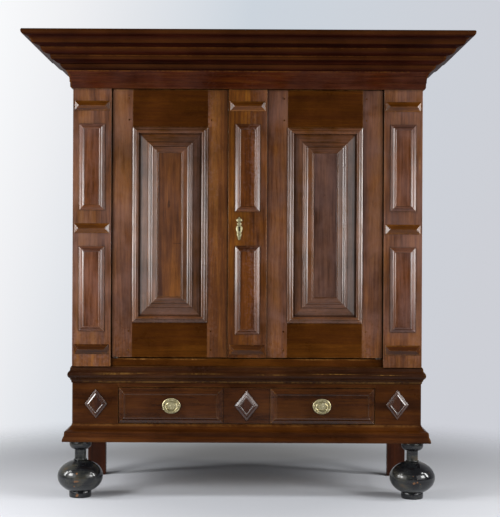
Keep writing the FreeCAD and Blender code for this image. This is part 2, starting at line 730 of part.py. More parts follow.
def door(name, side, meeting_edge, extra_cuts=()):
    """A framed and panelled door. `side` is -1 for the left door and 1 for the right one."""
    hinge_stile = (panel_opening, panel_opening + S.DoorStileWidth)
    opening = (panel_middle - opening_width / 2, panel_middle + opening_width / 2)
    if side < 0:
        hinge_stile = (-hinge_stile[1], -hinge_stile[0])
        opening = (-opening[1], -opening[0])
    meeting_stile = (opening[1], meeting_edge) if side < 0 else (meeting_edge, opening[0])
    door_y = (door_face, door_back)
    door_z = (door_foot, door_top)
    groove = block((opening[0] - S.GrooveDepth, opening[1] + S.GrooveDepth), tongue_y,
                   (panel_z[0] - S.GrooveDepth, panel_z[1] + S.GrooveDepth))
    foot_plate, foot_pin = pivot(side, door_foot, -1)
    top_plate, top_pin = pivot(side, door_top, 1)
    node(f"{name}_stiles",
         cut(block(hinge_stile, door_y, door_z), groove, foot_plate, top_plate),
         cut(block(meeting_stile, door_y, door_z), groove, *extra_cuts))
    node(f"{name}_rails",
         cut(block(opening, door_y, (door_foot, panel_z[0])), groove),
         cut(block(opening, door_y, (panel_z[1], door_top)), groove))
    node(f"{name}_pivots", joined(foot_plate, foot_pin), joined(top_plate, top_pin))

    tongue_board = block((opening[0] - tongue, opening[1] + tongue), tongue_y,
                         (panel_z[0] - tongue, panel_z[1] + tongue))
    margin = S.DoorMouldWidth + S.PanelFlat - S.DoorMouldLap
    middle_x = panel_middle * side
    middle_z = (panel_z[0] + panel_z[1]) / 2
    foot_across = opening_width / 2 - margin
    foot_up = (panel_z[1] - panel_z[0]) / 2 - margin
    top_across, top_up = foot_across - S.PanelSlope, foot_up - S.PanelSlope
    slope_block = wedge((-foot_across, foot_across), (-top_across, top_across),
                        (-foot_up, foot_up), (-top_up, top_up), (0.0, S.PanelRise))
    place(slope_block, middle_x, tongue_y[0], middle_z,
          FreeCAD.Rotation(FreeCAD.Vector(0, 0, 1), 180))
    slope_face = tongue_y[0] - S.PanelRise
    field_across, field_up = top_across - S.InnerMouldWidth, top_up - S.InnerMouldWidth
    field_front = slope_face - S.InnerMouldHeight + S.FieldDrop
    field = block((middle_x - field_across, middle_x + field_across), (field_front, slope_face),
                  (middle_z - field_up, middle_z + field_up))
    node(f"{name}_panel", joined(tongue_board, slope_block))
    node(f"{name}_field", field)

    lap = S.DoorMouldLap
    outer_profile = face_profile(DOOR_MOULD_SHAPE, S.DoorMouldWidth, S.DoorMouldHeight,
                                 [(lap, 0.0), (lap, -S.PanelSetback),
                                  (S.DoorMouldWidth, -S.PanelSetback)])
    node(f"{name}_outer_moulding",
         *rectangular_frame(outer_profile, (opening[0] - lap, opening[1] + lap), door_face,
                            (panel_z[0] - lap, panel_z[1] + lap), S.DoorMouldWidth,
                            (-S.PanelSetback, S.DoorMouldHeight * 1.5)))
    inner_profile = face_profile(INNER_MOULD_SHAPE, S.InnerMouldWidth, S.InnerMouldHeight)
    node(f"{name}_inner_moulding",
         *rectangular_frame(inner_profile, (middle_x - top_across, middle_x + top_across),
                            slope_face, (middle_z - top_up, middle_z + top_up),
                            S.InnerMouldWidth, (0.0, S.InnerMouldHeight)))


door("left_door", -1, -left_meeting)
door("right_door", 1, -centre_half, [keyhole])


# ---- Centre pilaster, carried by the right door ------------------------------------------------

centre_x = (-S.CentrePanelWidth / 2, S.CentrePanelWidth / 2)
centre_upper_z = (S.KeyholeLevel + S.KeyholePanelGap, top_belt - S.PanelBeltGap)
centre_lower_z = (bottom_belt + S.CentreFootGap, S.KeyholeLevel - S.KeyholePanelGap)
node("centre_pilaster_board",
     cut(block((-centre_half, centre_half), (front, face), (door_foot, door_top)), keyhole))
node("centre_pilaster_panels", *raised_panel(centre_x, front, centre_upper_z, *panel_edge),
     *raised_panel(centre_x, front, centre_lower_z, *panel_edge))
node("centre_pilaster_belts", belt(as_size(0.0), front, top_belt),
     belt(as_size(0.0), front, bottom_belt))


# ---- Keyhole escutcheon ---------------------------------------------------------------------------

def both_halves(right):
    """Close an outline whose right-hand half runs from its foot up to its head."""
    left = [(-right[step + 1][0], right[step + 1][1], right[step][2])
            for step in reversed(range(len(right) - 1))]
    return right[:-1] + left


# Right-hand half of the escutcheon about the keyhole: a pointed drop, two lobes, a wide oval round
# the keyhole, a waist, a pair of leaves and a finial.
ESCUTCHEON_SHAPE = [(0.0, -48.0, 0.0), (5.0, -37.0, 0.0), (4.0, -30.0, 0.0), (8.5, -24.0, 0.0),
                    (6.0, -17.0, 0.5), (6.0, 17.0, 0.0), (3.5, 27.0, 0.0), (9.5, 33.0, 0.0),
                    (9.5, 40.0, 0.0), (4.5, 43.0, 0.0), (0.0, 51.0, 0.0)]
plate = flat_plate(both_halves(ESCUTCHEON_SHAPE), S.EscutcheonThickness, keyhole_x, front,
                   S.KeyholeLevel)
node("keyhole_escutcheon", cut(plate, keyhole))


# ---- Lock on the right door, its keeper on the left door -----------------------------------------

lock_x = (S.LockInset - centre_half, S.LockInset - centre_half + S.LockWidth)
lock_z = (S.KeyholeLevel - S.LockHeight / 2, S.KeyholeLevel + S.LockHeight / 2)
bolt_y = (door_back + S.LockWall, door_back + S.LockWall + S.LockBoltThickness)
bolt_z = (S.KeyholeLevel - S.LockBoltHeight / 2, S.KeyholeLevel + S.LockBoltHeight / 2)
bolt_x = (lock_x[0], lock_x[0] + S.LockBoltLength)
play = S.RunningGap
bolt_room = ((bolt_y[0] - play, bolt_y[1] + play), (bolt_z[0] - play, bolt_z[1] + play))
node("lock_case",
     cut(block(lock_x, (door_back, door_back + S.LockThickness), lock_z),
         block((bolt_x[0], bolt_x[1] + S.KeeperPlay), *bolt_room)))
node("lock_bolt", block(bolt_x, bolt_y, bolt_z))
keeper_edge = -left_meeting - S.LockInset
keeper_x = (keeper_edge - S.KeeperWidth, keeper_edge)
keeper_z = (S.KeyholeLevel - S.KeeperHeight / 2, S.KeyholeLevel + S.KeeperHeight / 2)
node("lock_keeper",
     cut(block(keeper_x, (door_back, door_back + S.KeeperThickness), keeper_z),
         block(keeper_x, (bolt_y[0] - S.KeeperPlay, bolt_y[1] + S.KeeperPlay),
               (bolt_z[0] - S.KeeperPlay, bolt_z[1] + S.KeeperPlay))))


# ---- Slide bolt inside the top of the left door --------------------------------------------------

slide_x = -left_meeting - S.DoorStileWidth / 2
slide_top = door_top - S.SlideBoltDrop
plate_top = door_top - S.SlidePlateDrop
plate_back = door_back + S.SlidePlateThickness
bar_x = (slide_x - S.SlideBoltWidth / 2, slide_x + S.SlideBoltWidth / 2)
bar_y = (plate_back + play, plate_back + play + S.SlideBoltThickness)
room_x = (bar_x[0] - play, bar_x[1] + play)
room_y = (plate_back, bar_y[1] + play)
staples = []
for drop in (S.StapleDrop, S.StapleDrop + S.StapleSpacing):
    staple_z = (plate_top - drop - S.StapleHeight, plate_top - drop)
    staple = block((room_x[0] - S.StapleWall, room_x[1] + S.StapleWall),
                   (plate_back, room_y[1] + S.StapleWall), staple_z)
    staples.append(cut(staple, block(room_x, room_y, staple_z)))
slide_plate = block((slide_x - S.SlidePlateWidth / 2, slide_x + S.SlidePlateWidth / 2),
                    (door_back, plate_back), (plate_top - S.SlidePlateLength, plate_top))
node("slide_bolt_plate", joined(slide_plate, *staples))
knob = rod(S.KnobRadius, S.KnobLength, slide_x, bar_y[1], slide_top - S.KnobDrop, ALONG_Y)
node("slide_bolt",
     joined(block(bar_x, bar_y, (slide_top - S.SlideBoltLength, slide_top)), knob))


# ---- Waist moulding and base ---------------------------------------------------------------------

case_moulding("waist_moulding", WAIST_SHAPE, face, waist_top - S.WaistHeight, S.WaistHeight,
              as_size(0.0), S.WaistProjection, as_size(0.0))
case_moulding("base_moulding", BASE_SHAPE, face, S.FootHeight, S.BaseMouldHeight, as_size(0.0),
              S.BaseMouldProjection, as_size(0.0))

drawer_opening = half - S.BaseStileWidth
leg_face = back - S.LegThickness
base_z = (S.FootHeight, case_foot)
drawer_room_z = (S.FootHeight + S.BaseBottomRail, case_foot - S.BaseTopRail)
foot_x = half - S.FootInset
foot_y = front + S.FootSetback
dowel_hole = rod(S.FootDowelRadius + S.FootDowelPlay, S.FootDowelLength + S.FootDowelPlay,
                 foot_x, foot_y, S.FootHeight)
node("base_stiles",
     *both_sides(cut(block((drawer_opening, half), (face, frame_back), base_z), dowel_hole)))
rail_x = (-drawer_opening, drawer_opening)
node("base_rails",
     block(rail_x, (face, frame_back), (drawer_room_z[1], case_foot)),
     block(rail_x, (face, frame_back), (S.FootHeight, drawer_room_z[0])))
node("rear_legs",
     *both_sides(block((half - S.LegWidth, half), (leg_face, back), (as_size(0.0), case_foot))))
base_back_face = back - S.ShelfThickness
node("base_sides_and_back",
     block((S.LegWidth - half, half - S.LegWidth), (base_back_face, back), base_z),
     *both_sides(block((inside, half), (frame_back, leg_face), base_z)))
node("base_lozenges",
     *both_sides(*lozenge(half - S.BaseLozengeInset, face, S.BaseLozengeLevel, S.BaseLozengeAcross,
                          S.BaseLozengeUp, S.BaseLozengeMould)))


# ---- Drawer and its runners ----------------------------------------------------------------------

drawer_half = drawer_opening - S.DrawerGap
drawer_z = (drawer_room_z[0] + S.DrawerGap, drawer_room_z[1] - S.DrawerGap)
drawer_front_back = face + S.DrawerFrontThickness
drawer_back = base_back_face - S.DrawerRearGap
box_half = drawer_half - S.DrawerSideInset
box_inside = box_half - S.DrawerSideThickness
box_top = drawer_z[1] - S.DrawerSideDrop
runner_top = drawer_z[0] - play
runner_y = (frame_back, base_back_face)
guide_face = box_half + play
guide_back = guide_face + S.GuideThickness
runner = block((guide_face - S.RunnerWidth, guide_back), runner_y,
               (runner_top - S.RunnerHeight, runner_top))
guide = block((guide_face, guide_back), runner_y, (runner_top, runner_top + S.RunnerHeight * 1.5))
kicker = block((guide_face - S.RunnerWidth, guide_back), runner_y,
               (box_top + play, box_top + play + S.RunnerHeight))
node("drawer_runners", *both_sides(runner, guide, kicker))

bottom_z = (drawer_z[0] + S.DrawerBottomLift,
            drawer_z[0] + S.DrawerBottomLift + S.DrawerBottomThickness)
bottom_half = box_inside + S.DrawerSideThickness / 2
bottom_front = drawer_front_back - S.DrawerFrontThickness / 3
bottom_groove = block((-bottom_half, bottom_half), (bottom_front, drawer_back), bottom_z)
node("drawer_front",
     cut(block((-drawer_half, drawer_half), (face, drawer_front_back), drawer_z), bottom_groove))
drawer_side = cut(block((box_inside, box_half), (drawer_front_back, drawer_back),
                        (drawer_z[0], box_top)), bottom_groove)
node("drawer_sides_and_back",
     block((-box_inside, box_inside), (drawer_back - S.DrawerSideThickness, drawer_back),
           (bottom_z[1], box_top)),
     *both_sides(drawer_side))
node("drawer_bottom",
     block((-bottom_half, bottom_half), (bottom_front, drawer_back), bottom_z))

end = S.DrawerPanelEnd
drawer_panel_z = (drawer_z[0] + end, drawer_z[1] - end)
node("drawer_raised_panels",
     *both_sides(*raised_panel((S.DrawerPanelGap, drawer_half - end), face, drawer_panel_z,
                               S.DrawerMouldWidth, S.DrawerMouldHeight)))
drawer_level = (drawer_z[0] + drawer_z[1]) / 2
node("drawer_lozenge",
     *lozenge(as_size(0.0), face, drawer_level, S.CentreLozengeAcross, S.CentreLozengeUp,
              S.CentreLozengeMould))


# ---- Drawer pulls: an oval plate with a boss and two posts, and a bail that swings ---------

pull_face = face - S.DrawerMouldHeight + S.FieldDrop
bail_y = pull_face - S.BailStandoff
bail_z = drawer_level + S.PostLift


def oval(across, up, thickness, x, y):
    """A flat oval that stands out towards the front from y."""
    rim = doc.addObject("Part::Ellipse", "Oval")
    bind(rim, MajorRadius=across, MinorRadius=up)
    plate = doc.addObject("Part::Extrusion", "OvalPlate")
    plate.Base = rim
    plate.DirMode = "Normal"
    plate.Solid = True
    bind(plate, LengthFwd=thickness)
    return place(plate, x, y, drawer_level, FACING_FRONT)


def pull_plate(x):
    plate = oval(S.PullAcross, S.PullUp, S.PullPlate, x, pull_face)
    boss = oval(S.PullBossAcross, S.PullBossUp, S.PullPlate + S.PullBossHeight, x, pull_face)
    post_half = S.PostWidth / 2
    posts = [block((middle - post_half, middle + post_half), (pull_face - S.PostLength, pull_face),
                   (bail_z - post_half, bail_z + post_half))
             for middle in (x - S.PostPlace, x + S.PostPlace)]
    bore_half = S.PostPlace + S.PostWidth
    bore = rod(S.BailPinRadius + S.BailClearance, bore_half * 2, x - bore_half, bail_y, bail_z,
               ALONG_X)
    return cut(joined(plate, boss, *posts), bore)


def bail(label, x):
    """A swinging bow of flat-sided bar with square shoulders, on two round pins."""
    outer, inner = S.BailSpan + S.BailBarWidth / 2, S.BailSpan - S.BailBarWidth / 2
    drop, shoulder = -S.BailDrop, S.BailBarWidth / 2
    outside, inside_bow = ([(radius * across, drop + radius * up) for across, up in BOW_SHAPE]
                           for radius in (outer, inner))
    bow = flat_plate([*outside, (outer, shoulder), (inner, shoulder), *reversed(inside_bow),
                      (-inner, shoulder), (-outer, shoulder)],
                     S.BailBarThickness, x, bail_y + S.BailBarThickness / 2, bail_z)
    pin = S.PostPlace + S.PostWidth / 2
    pins = [rod(S.BailPinRadius, pin - outer, start, bail_y, bail_z, ALONG_X)
            for start in (x - pin, x + outer)]
    node(label, joined(bow, *pins))


node("pull_plates", pull_plate(-S.PullPlace), pull_plate(S.PullPlace))
bail("left_pull_bail", -S.PullPlace)
bail("right_pull_bail", S.PullPlace)


# ---- Ball feet -----------------------------------------------------------------------------------

foot = doc.addObject("PartDesign::Body", "TurnedFoot")
place(foot, foot_x, foot_y, 0.0)
turning = body_sketch(foot, "XZ_Plane", "Turning")
disc_foot = S.FootHeight - S.FootDiscHeight
dowel_top = S.FootHeight + S.FootDowelLength
ball = [(S.BallRadius * across, S.BallLevel + S.BallHalfHeight * up) for across, up in BALL_SHAPE]
pad, neck, disc = S.FootPadRadius, S.FootNeckRadius, S.FootDiscRadius
outline(turning, [
    (0.0, 0.0), (pad, 0.0), (pad, S.FootPadHeight), *ball, (neck, disc_foot),
    (neck + S.FootDiscLip, disc_foot), (disc, S.FootHeight - S.FootDiscHeight * 0.4),
    (disc, S.FootHeight), (S.FootDowelRadius, S.FootHeight), (S.FootDowelRadius, dowel_top),
    (0.0, dowel_top)])
doc.recompute()
turned = foot.newObject("PartDesign::Revolution", "Turned")
turned.Profile = turning
turned.ReferenceAxis = (turning, ["V_Axis"])
turned.Angle = 360
foot.Tip = turned
node("ball_feet", *both_sides(foot))


# ---- Check every object and write the parts --------------------------------------------------------

doc.recompute()
for item in doc.Objects:
    if "Invalid" in item.State or "Error" in item.State:
        raise RuntimeError(f"{item.Name} ({item.Label}) failed: {item.State}")
os.makedirs("parts", exist_ok=True)
for label, item in nodes.items():
    shape = item.Shape
    if shape.isNull() or not shape.isValid() or not shape.Solids:
        raise RuntimeError(f"{label} has no valid solid")
    shape.exportStep(f"parts/{label}.step")
print(f"{len(nodes)} sub-parts, {sum(len(item.Shape.Solids) for item in nodes.values())} solids")
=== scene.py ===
from math import cos, pi, radians, sin, tau

import bmesh
import bpy
from mathutils import Matrix, Vector


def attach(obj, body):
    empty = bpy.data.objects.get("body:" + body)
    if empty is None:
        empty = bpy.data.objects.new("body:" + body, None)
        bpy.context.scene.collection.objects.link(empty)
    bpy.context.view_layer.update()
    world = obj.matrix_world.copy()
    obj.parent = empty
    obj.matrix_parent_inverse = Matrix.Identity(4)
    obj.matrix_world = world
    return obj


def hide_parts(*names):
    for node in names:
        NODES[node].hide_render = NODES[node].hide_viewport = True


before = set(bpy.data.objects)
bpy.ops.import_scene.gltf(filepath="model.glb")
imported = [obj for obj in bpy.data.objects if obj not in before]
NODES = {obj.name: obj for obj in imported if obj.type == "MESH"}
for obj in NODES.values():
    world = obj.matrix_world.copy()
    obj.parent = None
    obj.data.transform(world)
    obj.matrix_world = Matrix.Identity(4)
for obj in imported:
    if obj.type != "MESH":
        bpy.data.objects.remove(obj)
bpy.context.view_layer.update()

# A gumwood kas. The case, doors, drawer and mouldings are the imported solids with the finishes
# below; what is turned, cast or driven in by hand is made here.

SCENE = bpy.context.scene
SCENE.view_settings.view_transform = "Standard"

MM = 0.001


# ---- Camera ----------------------------------------------------------------------------------

IMAGE_HEIGHT = 517
camera = bpy.data.objects.new("camera", bpy.data.cameras.new("camera"))
SCENE.collection.objects.link(camera)
SCENE.camera = camera
camera.data.lens = 81.92
camera.data.shift_x = 2.7 / IMAGE_HEIGHT
camera.data.shift_y = -3.5 / IMAGE_HEIGHT
camera.location = (0, -5.185, 1.034)
camera.rotation_euler = (pi / 2, radians(-0.27), 0)


# ---- Nodes -----------------------------------------------------------------------------------

def linear(code):
    """A written colour as the linear values that Blender mixes."""
    shares = [int(code[start:start + 2], 16) / 255 for start in (0, 2, 4)]
    return tuple(share / 12.92 if share <= 0.04045 else ((share + 0.055) / 1.055) ** 2.4
                 for share in shares) + (1.0,)


def add(tree, kind, inputs=None, stops=(), **settings):
    """Add a node to a tree with its settings, its inputs by name or number, and a ramp's stops.

    An input takes a value, a socket, or another node, whose first live output it then reads.
    Numbered inputs: Map Range reads 0 over 1 to 2 and gives 3 to 4; Mix has its share at 0 and
    what it mixes at 4 and 5 for vectors, 6 and 7 for colours.
    """
    made = tree.nodes.new(kind)
    for name, value in settings.items():
        setattr(made, name, value)
    for name, value in (inputs or {}).items():
        if isinstance(value, bpy.types.Node):
            value = next(socket for socket in value.outputs if socket.enabled)
        if isinstance(value, bpy.types.NodeSocket):
            tree.links.new(value, made.inputs[name])
        else:
            made.inputs[name].default_value = value
    for place, _ in stops[2:]:
        made.color_ramp.elements.new(place)
    for step, (place, code) in enumerate(stops):
        made.color_ramp.elements[step].position = place
        made.color_ramp.elements[step].color = linear(code)
    return made


def finish_named(name):
    """A new material: itself, its tree, its shader and its coordinates."""
    material = bpy.data.materials.new(name)
    material.use_nodes = True
    tree = material.node_tree
    return material, tree, tree.nodes["Principled BSDF"], add(tree, "ShaderNodeTexCoord")


def dress(tree, shader, colour, roughness, height, strength, depth, rounded=None):
    """Give a shader its colour, roughness and relief; `depth` is the relief's height."""
    relief = add(tree, "ShaderNodeBump", {"Height": height, "Strength": strength,
                                          "Distance": depth})
    if rounded is not None:
        tree.links.new(rounded.outputs["Normal"], relief.inputs["Normal"])
    for socket, node in (("Base Color", colour), ("Roughness", roughness), ("Normal", relief)):
        output = next(socket for socket in node.outputs if socket.enabled)
        tree.links.new(output, shader.inputs[socket])


# ---- Gumwood ---------------------------------------------------------------------------------

ALONG = 0.06                    # figure is about 17 times as long as it is wide
GRAIN = {"X": (ALONG, 1, 1), "Y": (1, ALONG, 1), "Z": (1, 1, ALONG)}
# Features to the metre: those of the wood across its grain, those of its wax and wear all ways.
FIGURE, STREAKS, SCRAPES, PORES = 12.0, 110.0, 24.0, 900.0
MOTTLE, CLOUDS, RAGGED = 5.0, 7.0, 90.0
# grey of bloomed wax that is partly a painted sheen, knots, and wax grime that is partly painted
# shade
BLOOM_AND_SHEEN_GREY, KNOT, WAX_GRIME_AND_SHADE = "8a6c68", "1c0c05", "0e0604"


def grain_space(tree, place, grain, offset):
    """Object coordinates squeezed along the grain, so that a round noise becomes long figure."""
    runs = [add(tree, "ShaderNodeMapping", {"Vector": place.outputs["Object"],
                                            "Location": offset, "Scale": GRAIN[axis]})
            for axis in grain]
    if len(runs) == 1:
        return runs[0]
    # mitred lengths: a face leans away from the way its own length runs
    lean = add(tree, "ShaderNodeSeparateXYZ", {0: place.outputs["Normal"]})
    leans = [add(tree, "ShaderNodeMath", {0: lean.outputs[axis]}, operation="ABSOLUTE")
             for axis in grain]
    turn = add(tree, "ShaderNodeMath", {0: leans[0], 1: leans[1]}, operation="GREATER_THAN")
    return add(tree, "ShaderNodeMix", {0: turn, 4: runs[0], 5: runs[1]}, data_type="VECTOR")


def spots_at(tree, place, spots, ragged):
    """A share that is 1 in spots at (x, z, half width, half height), ragged at their edges."""
    total = None
    for x, z, wide, tall in spots:
        away = add(tree, "ShaderNodeMapping", {
            "Vector": place.outputs["Object"], "Location": (-x / wide, 0, -z / tall),
            "Scale": (1 / wide, 0, 1 / tall)})
        reach = add(tree, "ShaderNodeVectorMath", {0: away}, operation="LENGTH")
        torn = add(tree, "ShaderNodeMath", {0: ragged, 1: 3.0, 2: reach.outputs["Value"]},
                   operation="MULTIPLY_ADD")
        spot = add(tree, "ShaderNodeMapRange", {0: torn, 1: 2.2, 2: 2.7, 3: 1.0, 4: 0.0})
        total = spot if total is None else add(tree, "ShaderNodeMath", {0: total, 1: spot},
                                               operation="MAXIMUM")
    return total


# Where hands and cloths keep the wax clear, (x, z, half width, half height): round the lock and
# low down.
HANDLED = [(-0.07, 1.1, 0.1, 9.0), (0.0, 0.3, 9.0, 0.34)]


def gumwood(name, grain, tones, *, sheen, polish, bloom, hollow, bare, wear, offset, knots=(),
            rubs_and_glints=(), lit_faces=None):
    """Red gum, or a board made to pass for it, planed and scraped, under old shellac and wax.

    `tones` are the dark heart, the plain wood and its paler bands. `sheen` is how much polish is
    left and `polish` is its roughness; where the wax has bloomed it turns grey, a grey that is
    partly a painted sheen, by the share `bloom`. Painted shade and wax grime darken corners and
    hollows within `hollow` mm. `bare` is the wood that shows where handling has worn the arrises,
    by the share `wear`. `knots` and `rubs_and_glints` are single marks: knots dark, the others
    bare wood, some of them painted highlights along edges. `lit_faces` is painted light: a paler
    colour on the faces that don't look down, so that the soffits stay dark as in shade.
    """
    material, tree, shader, place = finish_named(name)
    along = grain_space(tree, place, grain, offset)
    everywhere = add(tree, "ShaderNodeMapping", {"Vector": place.outputs["Object"],
                                                 "Location": offset})
    figure = add(tree, "ShaderNodeTexNoise", {"Vector": along, "Scale": FIGURE, "Detail": 5.0,
                                              "Roughness": 0.6, "Distortion": 1.1})
    streaks = add(tree, "ShaderNodeTexNoise", {"Vector": along, "Scale": STREAKS, "Detail": 4.0,
                                               "Roughness": 0.65})
    pores = add(tree, "ShaderNodeTexNoise", {"Vector": along, "Scale": PORES, "Detail": 2.0})
    mottle = add(tree, "ShaderNodeTexNoise", {"Vector": everywhere, "Scale": MOTTLE,
                                              "Detail": 5.0, "Roughness": 0.6})
    broad = add(tree, "ShaderNodeMath", {0: figure, 1: 0.65}, operation="MULTIPLY")
    depth = add(tree, "ShaderNodeMath", {0: streaks, 1: 0.35, 2: broad},
                operation="MULTIPLY_ADD")
    heart, plain, pale = tones
    wood = add(tree, "ShaderNodeValToRGB", {0: depth},
               stops=[(0.38, heart), (0.5, plain), (0.61, pale)])
    patchy = add(tree, "ShaderNodeMapRange", {0: mottle, 1: 0.3, 2: 0.7, 3: 0.62, 4: 1.36})
    wood = add(tree, "ShaderNodeMix", {0: 1.0, 6: wood, 7: patchy}, data_type="RGBA",
               blend_type="MULTIPLY")
    open_pores = add(tree, "ShaderNodeMapRange", {0: pores, 1: 0.35, 2: 0.6, 3: 0.78, 4: 1.05})
    wood = add(tree, "ShaderNodeMix", {0: 1.0, 6: wood, 7: open_pores}, data_type="RGBA",
               blend_type="MULTIPLY")
    # painted light: faces that don't look down are made paler, so the soffits stay dark as in
    # shade
    if lit_faces:
        slant = add(tree, "ShaderNodeSeparateXYZ", {0: place.outputs["Normal"]})
        upright = add(tree, "ShaderNodeMapRange", {0: slant.outputs["Z"], 1: -0.85, 2: -0.35})
        lit_share = add(tree, "ShaderNodeMath", {0: upright, 1: mottle}, operation="MULTIPLY")
        wood = add(tree, "ShaderNodeMix", {0: lit_share, 6: wood, 7: linear(lit_faces)},
                   data_type="RGBA")
    ragged = add(tree, "ShaderNodeTexNoise", {"Vector": everywhere, "Scale": RAGGED,
                                              "Detail": 4.0, "Roughness": 0.65})
    clouds = add(tree, "ShaderNodeTexNoise", {"Vector": everywhere, "Scale": CLOUDS,
                                              "Detail": 4.0, "Roughness": 0.6,
                                              "Distortion": 0.4})
    clouds = add(tree, "ShaderNodeMath", {0: streaks, 1: 0.5, 2: clouds},
                 operation="MULTIPLY_ADD")
    # wax bloom and painted sheen: grey-lilac clouds mixed into the colour, less where handled
    bloom_and_sheen = add(tree, "ShaderNodeMapRange", {0: clouds, 1: 0.58, 2: 0.92, 3: 0.0, 4: bloom})
    handled = spots_at(tree, place, HANDLED, ragged)
    bloom_and_sheen = add(tree, "ShaderNodeMapRange", {0: handled, 1: 0.0, 2: 1.0, 3: bloom_and_sheen, 4: 0.0})
    wood = add(tree, "ShaderNodeMix", {0: bloom_and_sheen, 6: wood, 7: linear(BLOOM_AND_SHEEN_GREY)},
               data_type="RGBA")
    if knots:
        dark = spots_at(tree, place, knots, ragged)
        dark = add(tree, "ShaderNodeMath", {0: dark, 1: 0.6}, operation="MULTIPLY")
        wood = add(tree, "ShaderNodeMix", {0: dark, 6: wood, 7: linear(KNOT)},
                   data_type="RGBA")
    # painted shade and wax grime: ambient occlusion darkens corners and hollows
    corners = add(tree, "ShaderNodeAmbientOcclusion", {"Distance": hollow * MM}, samples=6)
    grime_and_shade = add(tree, "ShaderNodeMapRange", {0: corners, 1: 0.4, 2: 0.95, 3: 0.9, 4: 0.0})
    wood = add(tree, "ShaderNodeMix", {0: grime_and_shade, 6: wood, 7: linear(WAX_GRIME_AND_SHADE)},
               data_type="RGBA")
    arrises = add(tree, "ShaderNodeAmbientOcclusion", {"Distance": hollow / 3 * MM}, samples=6,
                  inside=True, only_local=True)
    edges = add(tree, "ShaderNodeMapRange", {0: arrises, 1: 0.5, 2: 0.93, 3: 1.0, 4: 0.0})
    uneven = add(tree, "ShaderNodeMath", {0: ragged, 1: mottle})
    handling = add(tree, "ShaderNodeMapRange", {0: uneven, 1: 0.9, 2: 1.12, 3: 0.0, 4: wear})
    worn = add(tree, "ShaderNodeMath", {0: edges, 1: handling}, operation="MULTIPLY")
    # bare wood where worn, and painted highlights along some edges, as single marks
    if rubs_and_glints:
        speckled = add(tree, "ShaderNodeMapRange", {0: ragged, 1: 0.46, 2: 0.56, 3: 0.1, 4: 0.9})
        rubbed_and_glinting = add(tree, "ShaderNodeMath", {0: spots_at(tree, place, rubs_and_glints, ragged),
                                              1: speckled}, operation="MULTIPLY")
        worn = add(tree, "ShaderNodeMath", {0: worn, 1: rubbed_and_glinting}, operation="MAXIMUM")
    wood = add(tree, "ShaderNodeMix", {0: worn, 6: wood, 7: linear(bare)}, data_type="RGBA")
    gloss = add(tree, "ShaderNodeMapRange", {0: mottle, 1: 0.3, 2: 0.7, 3: polish - 0.06,
                                             4: polish + 0.08})
    scraped = add(tree, "ShaderNodeTexNoise", {"Vector": along, "Scale": SCRAPES, "Detail": 3.0})
    height = add(tree, "ShaderNodeMath", {0: pores, 1: 0.008, 2: scraped},
                 operation="MULTIPLY_ADD")
    arris = add(tree, "ShaderNodeBevel", {"Radius": 1.5 * MM}, samples=4)
    dress(tree, shader, wood, gloss, height, 0.3, 1.2 * MM, arris)
    shader.inputs["Specular IOR Level"].default_value = sheen
    return material


# Uprights get paler tones than cross rails, partly a painted sheen: upright grain catches the side
# lamps.
STILE_TONES = ("3f1f09", "5e330e", "754719")
CENTRE_TONES = ("432005", "653708", "7e4e11")
LEFT_FIELD_TONES = ("391b07", "582f09", "734313")
RIGHT_FIELD_TONES = ("2a1408", "43240f", "563319")
RAIL_TONES = ("3a1b05", "452305", "522d08")
BELT_TONES = ("40200a", "58300b", "6a3c12")
CORNICE_TONES = ("190603", "270b05", "321208")
FRIEZE_TONES = ("2a0f05", "3e1806", "4c2408")
BASE_TONES = ("2d1404", "3d1d05", "4a2707")
WAIST_TONES = ("230f05", "301706", "3c2009")
LEG_TONES = ("1e0c05", "341608", "44200c")
MOULDED_TONES = ("3b2005", "522d06", "66390b")
PILASTER_PANEL_TONES = ("3a1c09", "542b0b", "693a14")
LOZENGE_TONES = ("241006", "3c1c0a", "4c2a0f")
# Wood laid bare by wear.
BARE_ON_DOORS, BARE_ON_RAILS, BARE_ON_MOULDINGS = "96683a", "8a5f30", "8a5f38"
BARE_ON_BASE, BARE_ON_WAIST, BARE_ON_LEGS = "7c5424", "8f6a30", "5a3312"
BARE_ON_CORNICE, BARE_ON_BELTS, BARE_ON_SIDES = "5e3812", "8a5a24", "6b3a14"
# painted light: the paler colour for cornice faces that don't look down
LIT_CORNICE_FACES = "4d2b10"

# Doors and pilasters: warm brown wood whose thin, patchy wax has bloomed to a lilac veil,
# partly a painted sheen from the side lamps.
stile_gumwood = gumwood(
    "waxed_gumwood_stiles", "Z", STILE_TONES, sheen=0.4, polish=0.36, bloom=0.27, hollow=12,
    bare=BARE_ON_DOORS, wear=0.4, offset=(0.0, 0.0, 0.0),
    knots=[(-0.507, 1.712, 0.004, 0.003), (-0.498, 1.610, 0.003, 0.003),
           (0.150, 1.703, 0.003, 0.003), (0.163, 1.371, 0.003, 0.004)],
    rubs_and_glints=[(-0.153, 1.646, 0.0012, 0.028), (0.732, 1.418, 0.003, 0.045)])
centre_gumwood = gumwood(
    "waxed_gumwood_centre_pilaster", "Z", CENTRE_TONES, sheen=0.35, polish=0.34, bloom=0.2,
    hollow=12, bare=BARE_ON_DOORS, wear=0.4, offset=(1.2, 0.6, 2.9),
    # the two long marks are painted highlights along the centre pilaster's edges
    rubs_and_glints=[(-0.0815, 1.17, 0.0012, 0.56), (0.0815, 1.17, 0.001, 0.56)])
left_field_gumwood = gumwood(
    "waxed_gumwood_left_field", "Z", LEFT_FIELD_TONES, sheen=0.4, polish=0.36, bloom=0.08,
    hollow=12, bare=BARE_ON_DOORS, wear=0.4, offset=(3.1, 1.7, 0.4),
    knots=[(-0.334, 1.248, 0.005, 0.016), (-0.29, 1.082, 0.03, 0.0015)])
